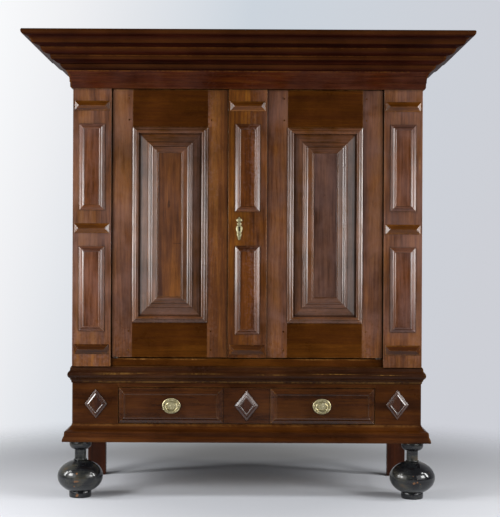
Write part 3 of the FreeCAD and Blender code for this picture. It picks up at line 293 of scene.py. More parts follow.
right_field_gumwood = gumwood(
    "waxed_gumwood_right_field", "Z", RIGHT_FIELD_TONES, sheen=0.4, polish=0.36, bloom=0.22,
    hollow=12, bare=BARE_ON_DOORS, wear=0.4, offset=(5.3, 0.7, 2.4),
    knots=[(0.327, 1.290, 0.003, 0.003)])
# Rails, base and waist: red-brown shellac gone nearly matt, so the colour stays deep.
rail_gumwood = gumwood(
    "shellacked_gumwood_rails", "X", RAIL_TONES, sheen=0.08, polish=0.3, bloom=0.0, hollow=12,
    bare=BARE_ON_RAILS, wear=0.5, offset=(1.3, 0.2, 2.6),
    rubs_and_glints=[(-0.45, 0.5885, 0.09, 0.003), (-0.25, 0.5885, 0.08, 0.003),
          (0.29, 0.5885, 0.09, 0.003), (0.47, 0.5885, 0.05, 0.003)])
base_gumwood = gumwood(
    "shellacked_gumwood_base", "X", BASE_TONES, sheen=0.15, polish=0.3, bloom=0.05, hollow=15,
    bare=BARE_ON_BASE, wear=0.35, offset=(2.4, 0.3, 0.6))
waist_gumwood = gumwood(
    "shellacked_gumwood_waist", "X", WAIST_TONES, sheen=0.15, polish=0.3, bloom=0.05, hollow=15,
    bare=BARE_ON_WAIST, wear=0.25, offset=(1.1, 2.3, 0.4),
    rubs_and_glints=[(-0.57, 0.526, 0.09, 0.0013), (-0.52, 0.530, 0.12, 0.0012),
          (-0.2, 0.528, 0.12, 0.0012), (0.1, 0.525, 0.09, 0.0012),
          (0.37, 0.529, 0.12, 0.0012), (0.60, 0.526, 0.07, 0.0013)])
# Drawer: the same red-brown, kept bright by the hands that open it.
drawer_gumwood = gumwood(
    "polished_gumwood_drawer", "X", BASE_TONES, sheen=0.5, polish=0.17, bloom=0.0, hollow=9,
    bare=BARE_ON_BASE, wear=0.35, offset=(0.2, 0.9, 1.6))
# Rear legs: as the base, darker and duller.
rear_leg_gumwood = gumwood(
    "shellacked_gumwood_rear_legs", "Z", LEG_TONES, sheen=0.12, polish=0.4, bloom=0.05,
    hollow=12, bare=BARE_ON_LEGS, wear=0.5, offset=(0.4, 1.3, 0.6))
# Cornice: the darkest and reddest, with painted shade and soot dark in its hollows, painted light
# on the faces that don't look down, and golden on its ridges.
cornice_gumwood = gumwood(
    "shellacked_gumwood_cornice", "XY", CORNICE_TONES, sheen=0.03, polish=0.36, bloom=0.0,
    hollow=20, bare=BARE_ON_CORNICE, wear=0.5, offset=(0.4, 2.2, 1.1), lit_faces=LIT_CORNICE_FACES)
frieze_gumwood = gumwood(
    "shellacked_gumwood_frieze", "XY", FRIEZE_TONES, sheen=0.05, polish=0.36, bloom=0.05,
    hollow=18, bare=BARE_ON_CORNICE, wear=0.8, offset=(1.9, 0.4, 0.3))
# Mouldings, raised panels, lozenges and belts: polished by hands and cloths, so that their slopes
# flash grey-white.
mitred_gumwood = gumwood(
    "polished_gumwood_mouldings", "ZX", MOULDED_TONES, sheen=0.55, polish=0.2, bloom=0.2,
    hollow=9, bare=BARE_ON_MOULDINGS, wear=0.3, offset=(1.3, 0.2, 2.6))
pilaster_panel_gumwood = gumwood(
    "polished_gumwood_pilaster_panels", "ZX", PILASTER_PANEL_TONES, sheen=0.45, polish=0.2,
    bloom=0.25, hollow=9, bare=BARE_ON_MOULDINGS, wear=0.3, offset=(0.6, 2.8, 1.9))
lozenge_gumwood = gumwood(
    "polished_gumwood_lozenges", "Z", LOZENGE_TONES, sheen=0.9, polish=0.18, bloom=0.05,
    hollow=6, bare=BARE_ON_MOULDINGS, wear=0.3, offset=(2.1, 1.4, 0.3))
belt_gumwood = gumwood(
    "polished_gumwood_belts", "X", BELT_TONES, sheen=0.3, polish=0.14, bloom=0.0, hollow=12,
    bare=BARE_ON_BELTS, wear=0.4, offset=(0.9, 0.1, 0.8))
# Sides: never handled, dull and even.
side_gumwood = gumwood(
    "dull_gumwood_sides", "Z", BASE_TONES, sheen=0.15, polish=0.38, bloom=0.15, hollow=12,
    bare=BARE_ON_SIDES, wear=0.5, offset=(4.4, 0.3, 0.6))
# Base behind the front: pine stained and shellacked to pass for gum.
stained_pine = gumwood(
    "stained_pine_base", "XY", WAIST_TONES, sheen=0.15, polish=0.38, bloom=0.1, hollow=12,
    bare=BARE_ON_SIDES, wear=0.5, offset=(3.6, 0.5, 1.2))


# ---- Other materials -------------------------------------------------------------------------

def sawn_pine(name, grain, offset):
    """White pine from the saw, never finished: dry, dusty and darkened by age.

    Growth rings 25 to 40 mm apart on the flat-sawn face, and torn fibres about 2.5 mm apart.
    """
    material, tree, shader, place = finish_named(name)
    along = grain_space(tree, place, grain, offset)
    rings = add(tree, "ShaderNodeTexNoise", {"Vector": along, "Scale": 34.0, "Detail": 4.0,
                                             "Distortion": 0.7})
    wood = add(tree, "ShaderNodeValToRGB", {0: rings},
               stops=[(0.3, "5d4129"), (0.5, "8a6a46"), (0.7, "a3845b")])
    fibres = add(tree, "ShaderNodeTexNoise", {"Vector": along, "Scale": 420.0, "Detail": 2.0})
    dust = add(tree, "ShaderNodeTexNoise", {"Vector": place.outputs["Object"], "Scale": 6.0,
                                            "Detail": 5.0})
    dusty = add(tree, "ShaderNodeMapRange", {0: dust, 1: 0.4, 2: 0.7, 3: 0.0, 4: 0.5})
    wood = add(tree, "ShaderNodeMix", {0: dusty, 6: wood, 7: linear("6f5c48")},
               data_type="RGBA")
    matt = add(tree, "ShaderNodeMapRange", {0: fibres, 1: 0.3, 2: 0.7, 3: 0.72, 4: 0.9})
    dress(tree, shader, wood, matt, fibres, 0.5, 0.8 * MM)
    return material


pine_boards = sawn_pine("sawn_pine_boards", "X", (0.0, 0.0, 0.0))
pine_uprights = sawn_pine("sawn_pine_uprights", "Z", (1.5, 0.2, 0.7))
pine_runners = sawn_pine("sawn_pine_runners", "Y", (2.5, 1.2, 0.3))
pine_corners = sawn_pine("sawn_pine_corners", "XY", (0.9, 1.4, 2.3))


# Where the paint is chipped, (x, z, half width, half height).
CHIPS = [(-0.712, 0.113, 0.004, 0.003), (-0.716, 0.080, 0.010, 0.005),
         (-0.722, 0.058, 0.005, 0.004), (-0.716, 0.012, 0.007, 0.007),
         (0.705, 0.079, 0.007, 0.004), (0.717, 0.084, 0.004, 0.003),
         (0.701, 0.108, 0.002, 0.002), (0.730, 0.075, 0.002, 0.002)]


def black_paint():
    """Turned maple under black oil paint.

    The paint is rubbed to a satin gloss that mirrors the lamps, greyed and browned by dust along
    the lines of the turning, 1 to 4 mm apart, and chipped to tan wood where brooms and shoes
    meet it.
    """
    material, tree, shader, place = finish_named("black_oil_paint_on_maple")
    everywhere = place.outputs["Object"]
    round_about = add(tree, "ShaderNodeMapping", {"Vector": everywhere,
                                                  "Scale": (0.04, 0.04, 1)})
    turned = add(tree, "ShaderNodeTexNoise", {"Vector": round_about, "Scale": 260.0,
                                              "Detail": 3.0, "Roughness": 0.6})
    ragged = add(tree, "ShaderNodeTexNoise", {"Vector": everywhere, "Scale": RAGGED,
                                              "Detail": 5.0, "Roughness": 0.62})
    worn = add(tree, "ShaderNodeTexNoise", {"Vector": everywhere, "Scale": 16.0, "Detail": 5.0})
    streaky = add(tree, "ShaderNodeMath", {0: turned, 1: 0.35, 2: worn},
                  operation="MULTIPLY_ADD")
    paint = add(tree, "ShaderNodeValToRGB", {0: streaky},
                stops=[(0.54, "0f0f11"), (0.66, "1c1d1f"), (0.78, "33332e"), (0.92, "4a3c2c")])
    chips = add(tree, "ShaderNodeMath", {0: spots_at(tree, place, CHIPS, ragged), 1: 0.8},
                operation="MULTIPLY")
    specks = add(tree, "ShaderNodeMapRange", {0: ragged, 1: 0.68, 2: 0.74, 3: 0.0, 4: 0.6})
    bare = add(tree, "ShaderNodeMath", {0: chips, 1: specks}, operation="MAXIMUM")
    colour = add(tree, "ShaderNodeMix", {0: bare, 6: paint, 7: linear("7d5432")},
                 data_type="RGBA")
    gloss = add(tree, "ShaderNodeMapRange", {0: worn, 1: 0.3, 2: 0.7, 3: 0.12, 4: 0.22})
    dress(tree, shader, colour, gloss, streaky, 0.03, 0.5 * MM)
    return material


def old_brass():
    """Yellow brass, cast and filed, its lacquer gone.

    Pale greenish gold on the high places, with brown tarnish in the hollows.
    """
    material, tree, shader, place = finish_named("cast_yellow_brass")
    stain = add(tree, "ShaderNodeTexNoise", {"Vector": place.outputs["Object"], "Scale": 160.0,
                                             "Detail": 5.0, "Roughness": 0.6})
    colour = add(tree, "ShaderNodeValToRGB", {0: stain},
                 stops=[(0.34, "8f8660"), (0.48, "bfb48a"), (0.64, "dbd2b0")])
    hollows = add(tree, "ShaderNodeAmbientOcclusion", {"Distance": 5 * MM}, samples=6)
    tarnish = add(tree, "ShaderNodeMapRange", {0: hollows, 1: 0.45, 2: 0.92, 3: 0.95, 4: 0.0})
    colour = add(tree, "ShaderNodeMix", {0: tarnish, 6: colour, 7: linear("3a3216")},
                 data_type="RGBA")
    filed = add(tree, "ShaderNodeMapRange", {0: stain, 1: 0.3, 2: 0.7, 3: 0.5, 4: 0.34})
    dress(tree, shader, colour, filed, stain, 0.2, 0.4 * MM)
    shader.inputs["Metallic"].default_value = 1.0
    return material


def forged_iron():
    """Wrought iron, hammered and blacked by the fire, with a brown bloom of rust in its dents."""
    material, tree, shader, place = finish_named("hammered_wrought_iron")
    dents = add(tree, "ShaderNodeTexNoise", {"Vector": place.outputs["Object"], "Scale": 110.0,
                                             "Detail": 4.0})
    colour = add(tree, "ShaderNodeValToRGB", {0: dents},
                 stops=[(0.3, "3d2a20"), (0.48, "35322f"), (0.7, "57534f")])
    dull = add(tree, "ShaderNodeMapRange", {0: dents, 1: 0.3, 2: 0.7, 3: 0.62, 4: 0.42})
    dress(tree, shader, colour, dull, dents, 0.4, 0.8 * MM)
    shader.inputs["Metallic"].default_value = 1.0
    return material


maple_under_paint = black_paint()
brass = old_brass()
iron = forged_iron()

FINISHES = {
    cornice_gumwood: ("crown_moulding", "corona_moulding", "bed_moulding"),
    stile_gumwood: ("case_front_stiles", "side_pilaster_boards", "left_door_stiles",
                    "right_door_stiles"),
    centre_gumwood: ("centre_pilaster_board",),
    left_field_gumwood: ("left_door_field",),
    right_field_gumwood: ("right_door_field",),
    frieze_gumwood: ("frieze_boards",),
    rail_gumwood: ("case_head_rail", "case_bottom_rail", "left_door_rails", "right_door_rails"),
    mitred_gumwood: ("left_door_outer_moulding", "right_door_outer_moulding",
                     "left_door_inner_moulding", "right_door_inner_moulding", "left_door_panel",
                     "right_door_panel"),
    pilaster_panel_gumwood: ("side_pilaster_panels", "centre_pilaster_panels"),
    lozenge_gumwood: ("base_lozenges", "drawer_lozenge"),
    belt_gumwood: ("side_pilaster_belts", "centre_pilaster_belts"),
    waist_gumwood: ("waist_moulding",),
    base_gumwood: ("base_moulding", "base_rails", "base_stiles"),
    drawer_gumwood: ("drawer_front", "drawer_raised_panels"),
    rear_leg_gumwood: ("rear_legs",),
    side_gumwood: ("side_frames", "side_panels"),
    pine_boards: ("case_top_and_bottom_boards", "shelves", "cornice_back_rail",
                  "cornice_dust_boards"),
    pine_uprights: ("back_boards",),
    pine_runners: ("shelf_cleats", "drawer_runners", "drawer_bottom"),
    pine_corners: ("drawer_sides_and_back",),
    stained_pine: ("base_sides_and_back",),
    maple_under_paint: ("ball_feet",),
    brass: ("pull_plates", "left_pull_bail", "right_pull_bail", "keyhole_escutcheon"),
    iron: ("left_door_pivots", "right_door_pivots", "pivot_washers", "lock_case", "lock_bolt",
           "lock_keeper", "slide_bolt", "slide_bolt_plate"),
}
for finish, names in FINISHES.items():
    for name in names:
        for slot in NODES[name].material_slots:
            slot.material = finish


# ---- Pieces ----------------------------------------------------------------------------------

FACING_FRONT = Matrix.Rotation(pi / 2, 4, "X")       # a plan drawn flat, stood up to face -Y
CREASE = radians(35)


def piece(name, mesh, finish, body):
    """A finished piece at the origin, smooth up to a crease, that rides on a body."""
    mesh.name = name
    mesh.shade_smooth()
    mesh.set_sharp_from_angle(angle=CREASE)
    mesh.materials.clear()
    mesh.materials.append(finish)
    made = bpy.data.objects.new(name, mesh)
    SCENE.collection.objects.link(made)
    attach(made, body)
    return made


def plain_mesh(holder):
    """The mesh that an object's curve or modifiers come to; the object itself goes."""
    SCENE.collection.objects.link(holder)
    graph = bpy.context.evaluated_depsgraph_get()
    mesh = bpy.data.meshes.new_from_object(holder.evaluated_get(graph), depsgraph=graph)
    bpy.data.objects.remove(holder)
    return mesh


def sewn(form):
    """Close a shape's doubles, point its faces outwards and make it a mesh."""
    bmesh.ops.remove_doubles(form, verts=form.verts, dist=0.01 * MM)
    bmesh.ops.recalc_face_normals(form, faces=form.faces)
    mesh = bpy.data.meshes.new("form")
    form.to_mesh(mesh)
    form.free()
    return mesh


def turn_about(form, profile, centre, steps):
    """Turn a profile of (radius, height) in mm about an upright line through a point."""
    drawn = [form.verts.new((centre.x + radius * MM, centre.y, centre.z + height * MM))
             for radius, height in profile]
    edges = [form.edges.new(pair) for pair in zip(drawn, drawn[1:])]
    bmesh.ops.spin(form, geom=drawn + edges, cent=centre, axis=(0, 0, 1), angle=tau,
                   steps=steps, use_merge=True)


# ---- Ball feet -------------------------------------------------------------------------------

FOOT_ACROSS, FOOT_FORWARD, FOOT_STEPS = 0.709, -0.157, 72
BALL = {"radius": 96.5, "half height": 70.0, "level": 88.0, "from": -57.0, "to": 76.0}
BALL_STEPS = 40
NECK, BOWL = 24.3, 46.5
BOWL_LIP, BOWL_DEPTH = 226.0, 23.0


def foot_profile():
    """Foot from the floor up: pad, flattened ball, a fine ring, straight neck, bowl and dowel."""
    ball = []
    for step in range(BALL_STEPS + 1):
        lean = radians(BALL["from"] + step * (BALL["to"] - BALL["from"]) / BALL_STEPS)
        ball.append((BALL["radius"] * cos(lean), BALL["level"] + BALL["half height"] * sin(lean)))
    bowl = [(NECK + (BOWL - NECK) * sin(radians(turn)),
             BOWL_LIP - BOWL_DEPTH * cos(radians(turn))) for turn in range(10, 91, 8)]
    return [(0, 0), (43.5, 0), (45.8, 0.8), (47.0, 3.0), (47.2, 15), (47.0, 25.0), (45.8, 27.0),
            (47.0, 28.2), *ball, (25.3, 156.2), (27.6, 157.0), (28.4, 158.8), (27.4, 160.4),
            (24.6, 161.0), (NECK, 162.2), (NECK, 180.0), (NECK, 201.8), *bowl,
            (BOWL, 236.5), (45.6, 238.6), (43.6, 239.0), (11.0, 239.0), (11.0, 283.0),
            (10.0, 284.0), (0, 284.0)]


form = bmesh.new()
for side in (-1, 1):
    turn_about(form, foot_profile(), Vector((FOOT_ACROSS * side, FOOT_FORWARD, 0)), FOOT_STEPS)
feet = piece("turned_ball_feet", sewn(form), maple_under_paint, "case")
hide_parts("ball_feet")


# ---- What repeats: pins, screws and beads -----------------------------------------------------

def growing_tree(name, sizes):
    """A geometry tree that takes and gives a shape, and the node that brings its inputs in."""
    tree = bpy.data.node_groups.new(name, "GeometryNodeTree")
    tree.interface.new_socket("Geometry", in_out="INPUT", socket_type="NodeSocketGeometry")
    for size, kind in sizes.items():
        tree.interface.new_socket(size, in_out="INPUT", socket_type="NodeSocket" + kind)
    tree.interface.new_socket("Geometry", in_out="OUTPUT", socket_type="NodeSocketGeometry")
    return tree, add(tree, "NodeGroupInput")


def end_tree(tree, given, instances):
    """Make a tree's instances real, give them their finish and send them out."""
    real = add(tree, "GeometryNodeRealizeInstances", {"Geometry": instances})
    dressed = add(tree, "GeometryNodeSetMaterial", {"Geometry": real,
                                                    "Material": given.outputs["Finish"]})
    add(tree, "NodeGroupOutput", {"Geometry": dressed})
    return tree


def pins_tree():
    """A pin's chamfered head on every point, its axis turned by Lean, no two quite the same."""
    tree, given = growing_tree("driven_pins", {
        "Head Radius": "Float", "Head Height": "Float", "Slotted": "Bool", "Lean": "Vector",
        "Finish": "Material"})
    radius, height = given.outputs["Head Radius"], given.outputs["Head Height"]
    narrow = add(tree, "ShaderNodeMath", {0: radius, 1: 0.82}, operation="MULTIPLY")
    head = add(tree, "GeometryNodeMeshCone", {"Vertices": 14, "Radius Top": narrow,
                                              "Radius Bottom": radius, "Depth": height})
    across = add(tree, "ShaderNodeMath", {0: radius, 1: 3.0}, operation="MULTIPLY")
    narrow_slot = add(tree, "ShaderNodeMath", {0: radius, 1: 0.25}, operation="MULTIPLY")
    slot = add(tree, "ShaderNodeCombineXYZ", {0: across, 1: narrow_slot, 2: height})
    cutter = add(tree, "GeometryNodeMeshCube", {"Size": slot})
    raised = add(tree, "ShaderNodeCombineXYZ", {2: height})
    cutter = add(tree, "GeometryNodeTransform", {"Geometry": cutter, "Translation": raised})
    slotted = add(tree, "GeometryNodeMeshBoolean", {0: head, 1: cutter}, operation="DIFFERENCE")
    pin = add(tree, "GeometryNodeSwitch", {"Switch": given.outputs["Slotted"], "False": head,
                                           "True": slotted.outputs["Mesh"]},
              input_type="GEOMETRY")
    spin = add(tree, "FunctionNodeRandomValue", {"Min": (0, 0, 0), "Max": (0, 0, tau),
                                                 "Seed": 7}, data_type="FLOAT_VECTOR")
    lean = add(tree, "FunctionNodeEulerToRotation", {0: given.outputs["Lean"]})
    own = add(tree, "FunctionNodeEulerToRotation", {0: spin})
    turned = add(tree, "FunctionNodeRotateRotation", {0: lean, 1: own}, rotation_space="LOCAL")
    swell = add(tree, "FunctionNodeRandomValue", {2: 0.92, 3: 1.0, "Seed": 3})
    pins = add(tree, "GeometryNodeInstanceOnPoints", {"Points": given.outputs["Geometry"],
                                                      "Instance": pin, "Rotation": turned,
                                                      "Scale": swell})
    return end_tree(tree, given, pins)


def beads_tree():
    """Beads side by side round an oval."""
    tree, given = growing_tree("beaded_oval", {
        "Half Width": "Float", "Half Height": "Float", "Bead Radius": "Float", "Beads": "Int",
        "Finish": "Material"})
    ring = add(tree, "GeometryNodeCurvePrimitiveCircle", {"Resolution": 180, "Radius": 1.0})
    stretch = add(tree, "ShaderNodeCombineXYZ", {0: given.outputs["Half Width"],
                                                 1: given.outputs["Half Height"], 2: 1.0})
    oval = add(tree, "GeometryNodeTransform", {"Geometry": ring, "Scale": stretch})
    marks = add(tree, "GeometryNodeResampleCurve", {"Curve": oval,
                                                    "Count": given.outputs["Beads"]})
    bead = add(tree, "GeometryNodeMeshUVSphere", {"Segments": 10, "Rings": 6,
                                                  "Radius": given.outputs["Bead Radius"]})
    beads = add(tree, "GeometryNodeInstanceOnPoints", {"Points": marks, "Instance": bead})
    return end_tree(tree, given, beads)


def grown(tree, places, sizes):
    """The plain mesh that a tree grows on some points, with its inputs set by name."""
    points = bpy.data.meshes.new("places")
    points.from_pydata(places, [], [])
    holder = bpy.data.objects.new("holder", points)
    grow = holder.modifiers.new("grow", "NODES")
    grow.node_group = tree
    for socket in tree.interface.items_tree:
        if socket.name in sizes:
            grow[socket.identifier] = sizes[socket.name]
    return plain_mesh(holder)


PINS, BEADS = pins_tree(), beads_tree()
TOWARDS_FRONT, TOWARDS_BACK = (pi / 2, 0, 0), (-pi / 2, 0, 0)
TOWARDS_LEFT, TOWARDS_RIGHT = (0, -pi / 2, 0), (0, pi / 2, 0)
PEG = {"Head Radius": 4 * MM, "Head Height": 0.5 * MM, "Slotted": False}
SCREW = {"Head Radius": 3.2 * MM, "Head Height": 1.4 * MM, "Slotted": True}


def drive(name, pin, lean, finish, body, places):
    """Pegs or screws at places in mm, as one piece."""
    mesh = grown(PINS, [(x * MM, y * MM, z * MM) for x, y, z in places],
                 {**pin, "Lean": lean, "Finish": finish})
    piece(name, mesh, finish, body)


# ---- Doors -----------------------------------------------------------------------------------

DOOR_FACE = -173
DOOR_RAILS = ((597, 745), (1577, 1737))
RAIL_PROUD, RAIL_DEPTH, RAIL_ARRIS = 0.4, 20.0, 0.15
DOOR_PEG_HEIGHTS = (628, 708, 1608, 1700)
SIDE_FACE, SIDE_PEG_DEPTHS, SIDE_PEG_HEIGHTS = 743, (-82, 312), (580, 650, 1735, 1785)


def rail_faces(name, body, near, far):
    """The faces of a door's two rails, that reach over the mouldings' width between the stiles."""
    form = bmesh.new()
    for low, high in DOOR_RAILS:
        made = bmesh.ops.create_cube(form, size=1.0)["verts"]
        bmesh.ops.transform(form, verts=made, matrix=Matrix.Translation(
            ((near + far) / 2 * MM, (DOOR_FACE - RAIL_PROUD + RAIL_DEPTH / 2) * MM,
             (low + high) / 2 * MM))
            @ Matrix.Diagonal(((far - near) * MM, RAIL_DEPTH * MM, (high - low) * MM, 1)))
    bmesh.ops.bevel(form, geom=form.edges[:], offset=RAIL_ARRIS * MM, segments=1,
                    affect="EDGES")
    piece(name, sewn(form), rail_gumwood, body)


rail_faces("left_door_rail_faces", "left_door", -490, -170)
rail_faces("right_door_rail_faces", "right_door", 170, 490)


# Pegs through the mortises, a hair proud where the wood has shrunk round them.
for name, body, columns in (("left_door_pegs", "left_door", (-505, -155)),
                            ("right_door_pegs", "right_door", (155, 505))):
    drive(name, PEG, TOWARDS_FRONT, rail_gumwood, body,
          [(x, DOOR_FACE, z) for x in columns for z in DOOR_PEG_HEIGHTS])
for name, side, lean in (("left_side_pegs", -1, TOWARDS_LEFT),
                         ("right_side_pegs", 1, TOWARDS_RIGHT)):
    drive(name, PEG, lean, side_gumwood, "case",
          [(SIDE_FACE * side, y, z) for y in SIDE_PEG_DEPTHS for z in SIDE_PEG_HEIGHTS])


# ---- Keyhole escutcheon ----------------------------------------------------------------------

KEYHOLE = Vector((-0.035, -0.185, 1.145))
# Right-hand half about the keyhole, in mm: a drop, lobes, the wide oval, a pair of leaves, a tip.
ESCUTCHEON_EDGE = [(0, -47.5), (3.4, -45), (4.6, -41), (5.0, -36), (7.4, -30), (8.8, -25),
                   (8.2, -20.5), (7.0, -17), (10.6, -11), (12.8, -1), (11.2, 8.5), (6.4, 14),
                   (5.4, 16.5), (8.4, 19.5), (7.2, 23.5), (3.8, 27), (4.8, 30.5), (9.6, 33),
                   (11.6, 37), (9.4, 41), (5.0, 42.2), (3.6, 45.5), (0, 50)]
ESCUTCHEON_HALF_WIDTH = 13.2
FLAT, ROUNDED = 0.45, 0.35              # half the thickness as drawn: flat edge, rounded arris
EDGE_HEIGHT, DOME = 1.6, 2.4
HOLE_RADIUS, HOLE_UP = 4.2, 6.0


def closed_spline(curve, points, handles):
    """A closed loop through points in mm; `handles` is AUTO for a smooth one."""
    spline = curve.splines.new("BEZIER")
    spline.bezier_points.add(len(points) - 1)
    for knot, (across, up) in zip(spline.bezier_points, points):
        knot.co = (across * MM, up * MM, 0)
        knot.handle_left_type = knot.handle_right_type = handles
    spline.use_cyclic_u = True
    spline.resolution_u = 6


def escutcheon_mesh():
    """A pierced plate with a rounded edge, domed about its upright middle line."""
    outline = bpy.data.curves.new("escutcheon_outline", "CURVE")
    outline.dimensions = "2D"
    outline.fill_mode = "BOTH"
    outline.extrude = FLAT * MM
    outline.bevel_depth = ROUNDED * MM
    outline.bevel_resolution = 3
    left = [(-across, up) for across, up in reversed(ESCUTCHEON_EDGE[1:-1])]
    closed_spline(outline, ESCUTCHEON_EDGE + left, "AUTO")
    # pierced with the keyhole, a diamond between the leaves and a dot above the drop
    round_top = [(HOLE_RADIUS * cos(radians(turn)), HOLE_UP + HOLE_RADIUS * sin(radians(turn)))
                 for turn in range(-40, 221, 20)]
    closed_spline(outline, [(3.4, -10.4), *round_top, (-3.4, -10.4)], "VECTOR")
    closed_spline(outline, [(0, 27.5), (1.7, 30.5), (0, 33.5), (-1.7, 30.5)], "VECTOR")
    closed_spline(outline, [(1.1, -24), (0, -22.9), (-1.1, -24), (0, -25.1)], "AUTO")
    form = bmesh.new()
    form.from_mesh(plain_mesh(bpy.data.objects.new("escutcheon_outline", outline)))
    bmesh.ops.remove_doubles(form, verts=form.verts, dist=0.01 * MM)
    for step in range(-9, 10):
        bmesh.ops.bisect_plane(form, geom=form.verts[:] + form.edges[:] + form.faces[:],
                               plane_co=(step * 1.5 * MM, 0, 0), plane_no=(1, 0, 0))
    for vert in form.verts:
        bulge = cos(min(1.0, abs(vert.co.x) / (ESCUTCHEON_HALF_WIDTH * MM)) * pi / 2)
        front = (vert.co.z + (FLAT + ROUNDED) * MM) / (2 * (FLAT + ROUNDED) * MM)
        vert.co.z = front * (EDGE_HEIGHT + DOME * bulge) * MM
    form.transform(Matrix.Translation(KEYHOLE) @ FACING_FRONT)
    return sewn(form)


escutcheon = piece("pierced_escutcheon", escutcheon_mesh(), brass, "right_door")
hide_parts("keyhole_escutcheon")


# ---- Drawer pulls ----------------------------------------------------------------------------

PULL_PLACES = {"left_pull": Vector((-0.320, -0.185, 0.3915)),
               "right_pull": Vector((0.320, -0.185, 0.3915))}
# From the edge inwards, in mm: (half width, half height, height) of rim, ledge, groove and boss.
PLATE_RINGS = [(38.5, 33.0, 0.0), (38.5, 33.0, 1.2), (38.2, 32.7, 2.3), (37.3, 31.8, 3.0),
               (36.0, 30.5, 3.3), (34.4, 28.9, 3.0), (33.4, 27.9, 2.2), (32.9, 27.4, 1.5),
               (32.2, 26.4, 1.3), (30.8, 23.8, 1.5), (29.4, 21.2, 1.4), (28.6, 20.2, 0.9),
               (27.8, 19.4, 0.5), (26.8, 18.6, 0.6), (26.0, 18.0, 1.4), (25.0, 17.2, 3.0),
               (23.4, 15.8, 4.4), (21.0, 13.8, 5.2), (18.2, 11.6, 5.5), (15.2, 9.4, 5.4),
               (12.4, 7.6, 5.0), (10.0, 6.2, 4.7), (7.8, 5.0, 4.7), (6.2, 4.2, 5.0),
               (4.6, 3.4, 5.4), (2.8, 2.2, 5.6), (1.2, 1.0, 5.7)]
PLATE_SEGMENTS = 96
PETALS, PETAL_DEPTH, PETALLED = 10, 0.5, (9, 24)     # petals lie between two half widths
BEADS_ROUND, BEAD_RADIUS, BEAD_INSET, BEAD_HEIGHT = 84, 1.15, 2.7, 3.0
AXIS_UP, AXIS_OUT = 3.0, 9.0
POST_PLACE, POST_STEPS = 32.5, 24
# A post from the panel outwards: (radius, height) of collar, waist and the eye that holds a pin.
POST_PROFILE = [(0, 0), (4.0, 0), (4.0, 2.6), (3.6, 3.4), (2.7, 4.2), (2.5, 5.4), (2.8, 6.2),
                (3.1, 7.4), (3.2, 9.0), (3.0, 10.3), (2.5, 11.3), (1.5, 11.85), (0, 12.0)]


def pull_plate(form, place):
    """A cast oval plate with a rolled rim, a groove and a petalled boss, and its two posts."""
    start = len(form.verts)
    rings = []
    for across, up, height in PLATE_RINGS:
        ring = []
        depth = PETAL_DEPTH if PETALLED[0] < across < PETALLED[1] else 0.0
        for step in range(PLATE_SEGMENTS):
            turn = tau * step / PLATE_SEGMENTS
            petal = depth * (0.5 + 0.5 * cos(PETALS * turn))
            ring.append(form.verts.new((across * cos(turn) * MM, up * sin(turn) * MM,
                                        (height - petal) * MM)))
        rings.append(ring)
    for outer, inner in zip(rings, rings[1:]):
        for step in range(PLATE_SEGMENTS):
            after = (step + 1) % PLATE_SEGMENTS
            form.faces.new((outer[step], outer[after], inner[after], inner[step]))
    form.faces.new(rings[0])
    form.faces.new(rings[-1])
    for side in (-1, 1):
        turn_about(form, POST_PROFILE, Vector((POST_PLACE * side * MM, AXIS_UP * MM, 0)),
                   POST_STEPS)
    form.verts.ensure_lookup_table()
    bmesh.ops.transform(form, verts=form.verts[start:],
                        matrix=Matrix.Translation(place) @ FACING_FRONT)


form = bmesh.new()
for place in PULL_PLACES.values():
    pull_plate(form, place)
plates = piece("cast_pull_plates", sewn(form), brass, "drawer")
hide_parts("pull_plates")


def rim_beads():
    """The ring of beads on the rim of each plate."""
    half_width, half_height, _ = PLATE_RINGS[0]
    form = bmesh.new()
    for place in PULL_PLACES.values():
        beads = grown(BEADS, [(0, 0, 0)], {"Half Width": (half_width - BEAD_INSET) * MM,
                                           "Half Height": (half_height - BEAD_INSET) * MM,
                                           "Bead Radius": BEAD_RADIUS * MM,
                                           "Beads": BEADS_ROUND, "Finish": brass})
        beads.transform(Matrix.Translation(place) @ FACING_FRONT
                        @ Matrix.Translation((0, 0, BEAD_HEIGHT * MM)))
        form.from_mesh(beads)
    mesh = bpy.data.meshes.new("pull_rim_beads")
    form.to_mesh(mesh)
    form.free()
    return mesh


piece("pull_rim_beads", rim_beads(), brass, "drawer")

BOW_RADIUS, BOW_DROP, BOW_STEPS = 24.5, 4.0, 32
PIN_RADIUS, SHOULDER_RADIUS, MIDDLE_RADIUS = 2.0, 2.1, 3.1
PIN_END = 35.6


def bail_mesh(place):
    """A drawn bow of round bar, thickest at its middle, turned out into two pins."""
    line = [(-PIN_END, 0.0, PIN_RADIUS), (-29.0, 0.0, PIN_RADIUS), (-26.6, -0.1, 2.05),
            (-25.2, -1.0, SHOULDER_RADIUS), (-24.6, -2.6, SHOULDER_RADIUS)]
    for step in range(BOW_STEPS + 1):
        turn = pi * step / BOW_STEPS
        swell = SHOULDER_RADIUS + (MIDDLE_RADIUS - SHOULDER_RADIUS) * sin(turn) ** 2
        line.append((-BOW_RADIUS * cos(turn), -BOW_DROP - BOW_RADIUS * sin(turn), swell))
    line += [(-across, up, radius) for across, up, radius in reversed(line[:5])]
    curve = bpy.data.curves.new("bail_line", "CURVE")
    curve.dimensions = "3D"
    curve.bevel_depth = 1 * MM
    curve.bevel_resolution = 6
    curve.use_fill_caps = True
    spline = curve.splines.new("POLY")
    spline.points.add(len(line) - 1)
    for point, (across, up, radius) in zip(spline.points, line):
        point.co = (place.x + across * MM, place.y - AXIS_OUT * MM,
                    place.z + (AXIS_UP + up) * MM, 1)
        point.radius = radius
    form = bmesh.new()
    form.from_mesh(plain_mesh(bpy.data.objects.new("bail_line", curve)))
    return sewn(form)


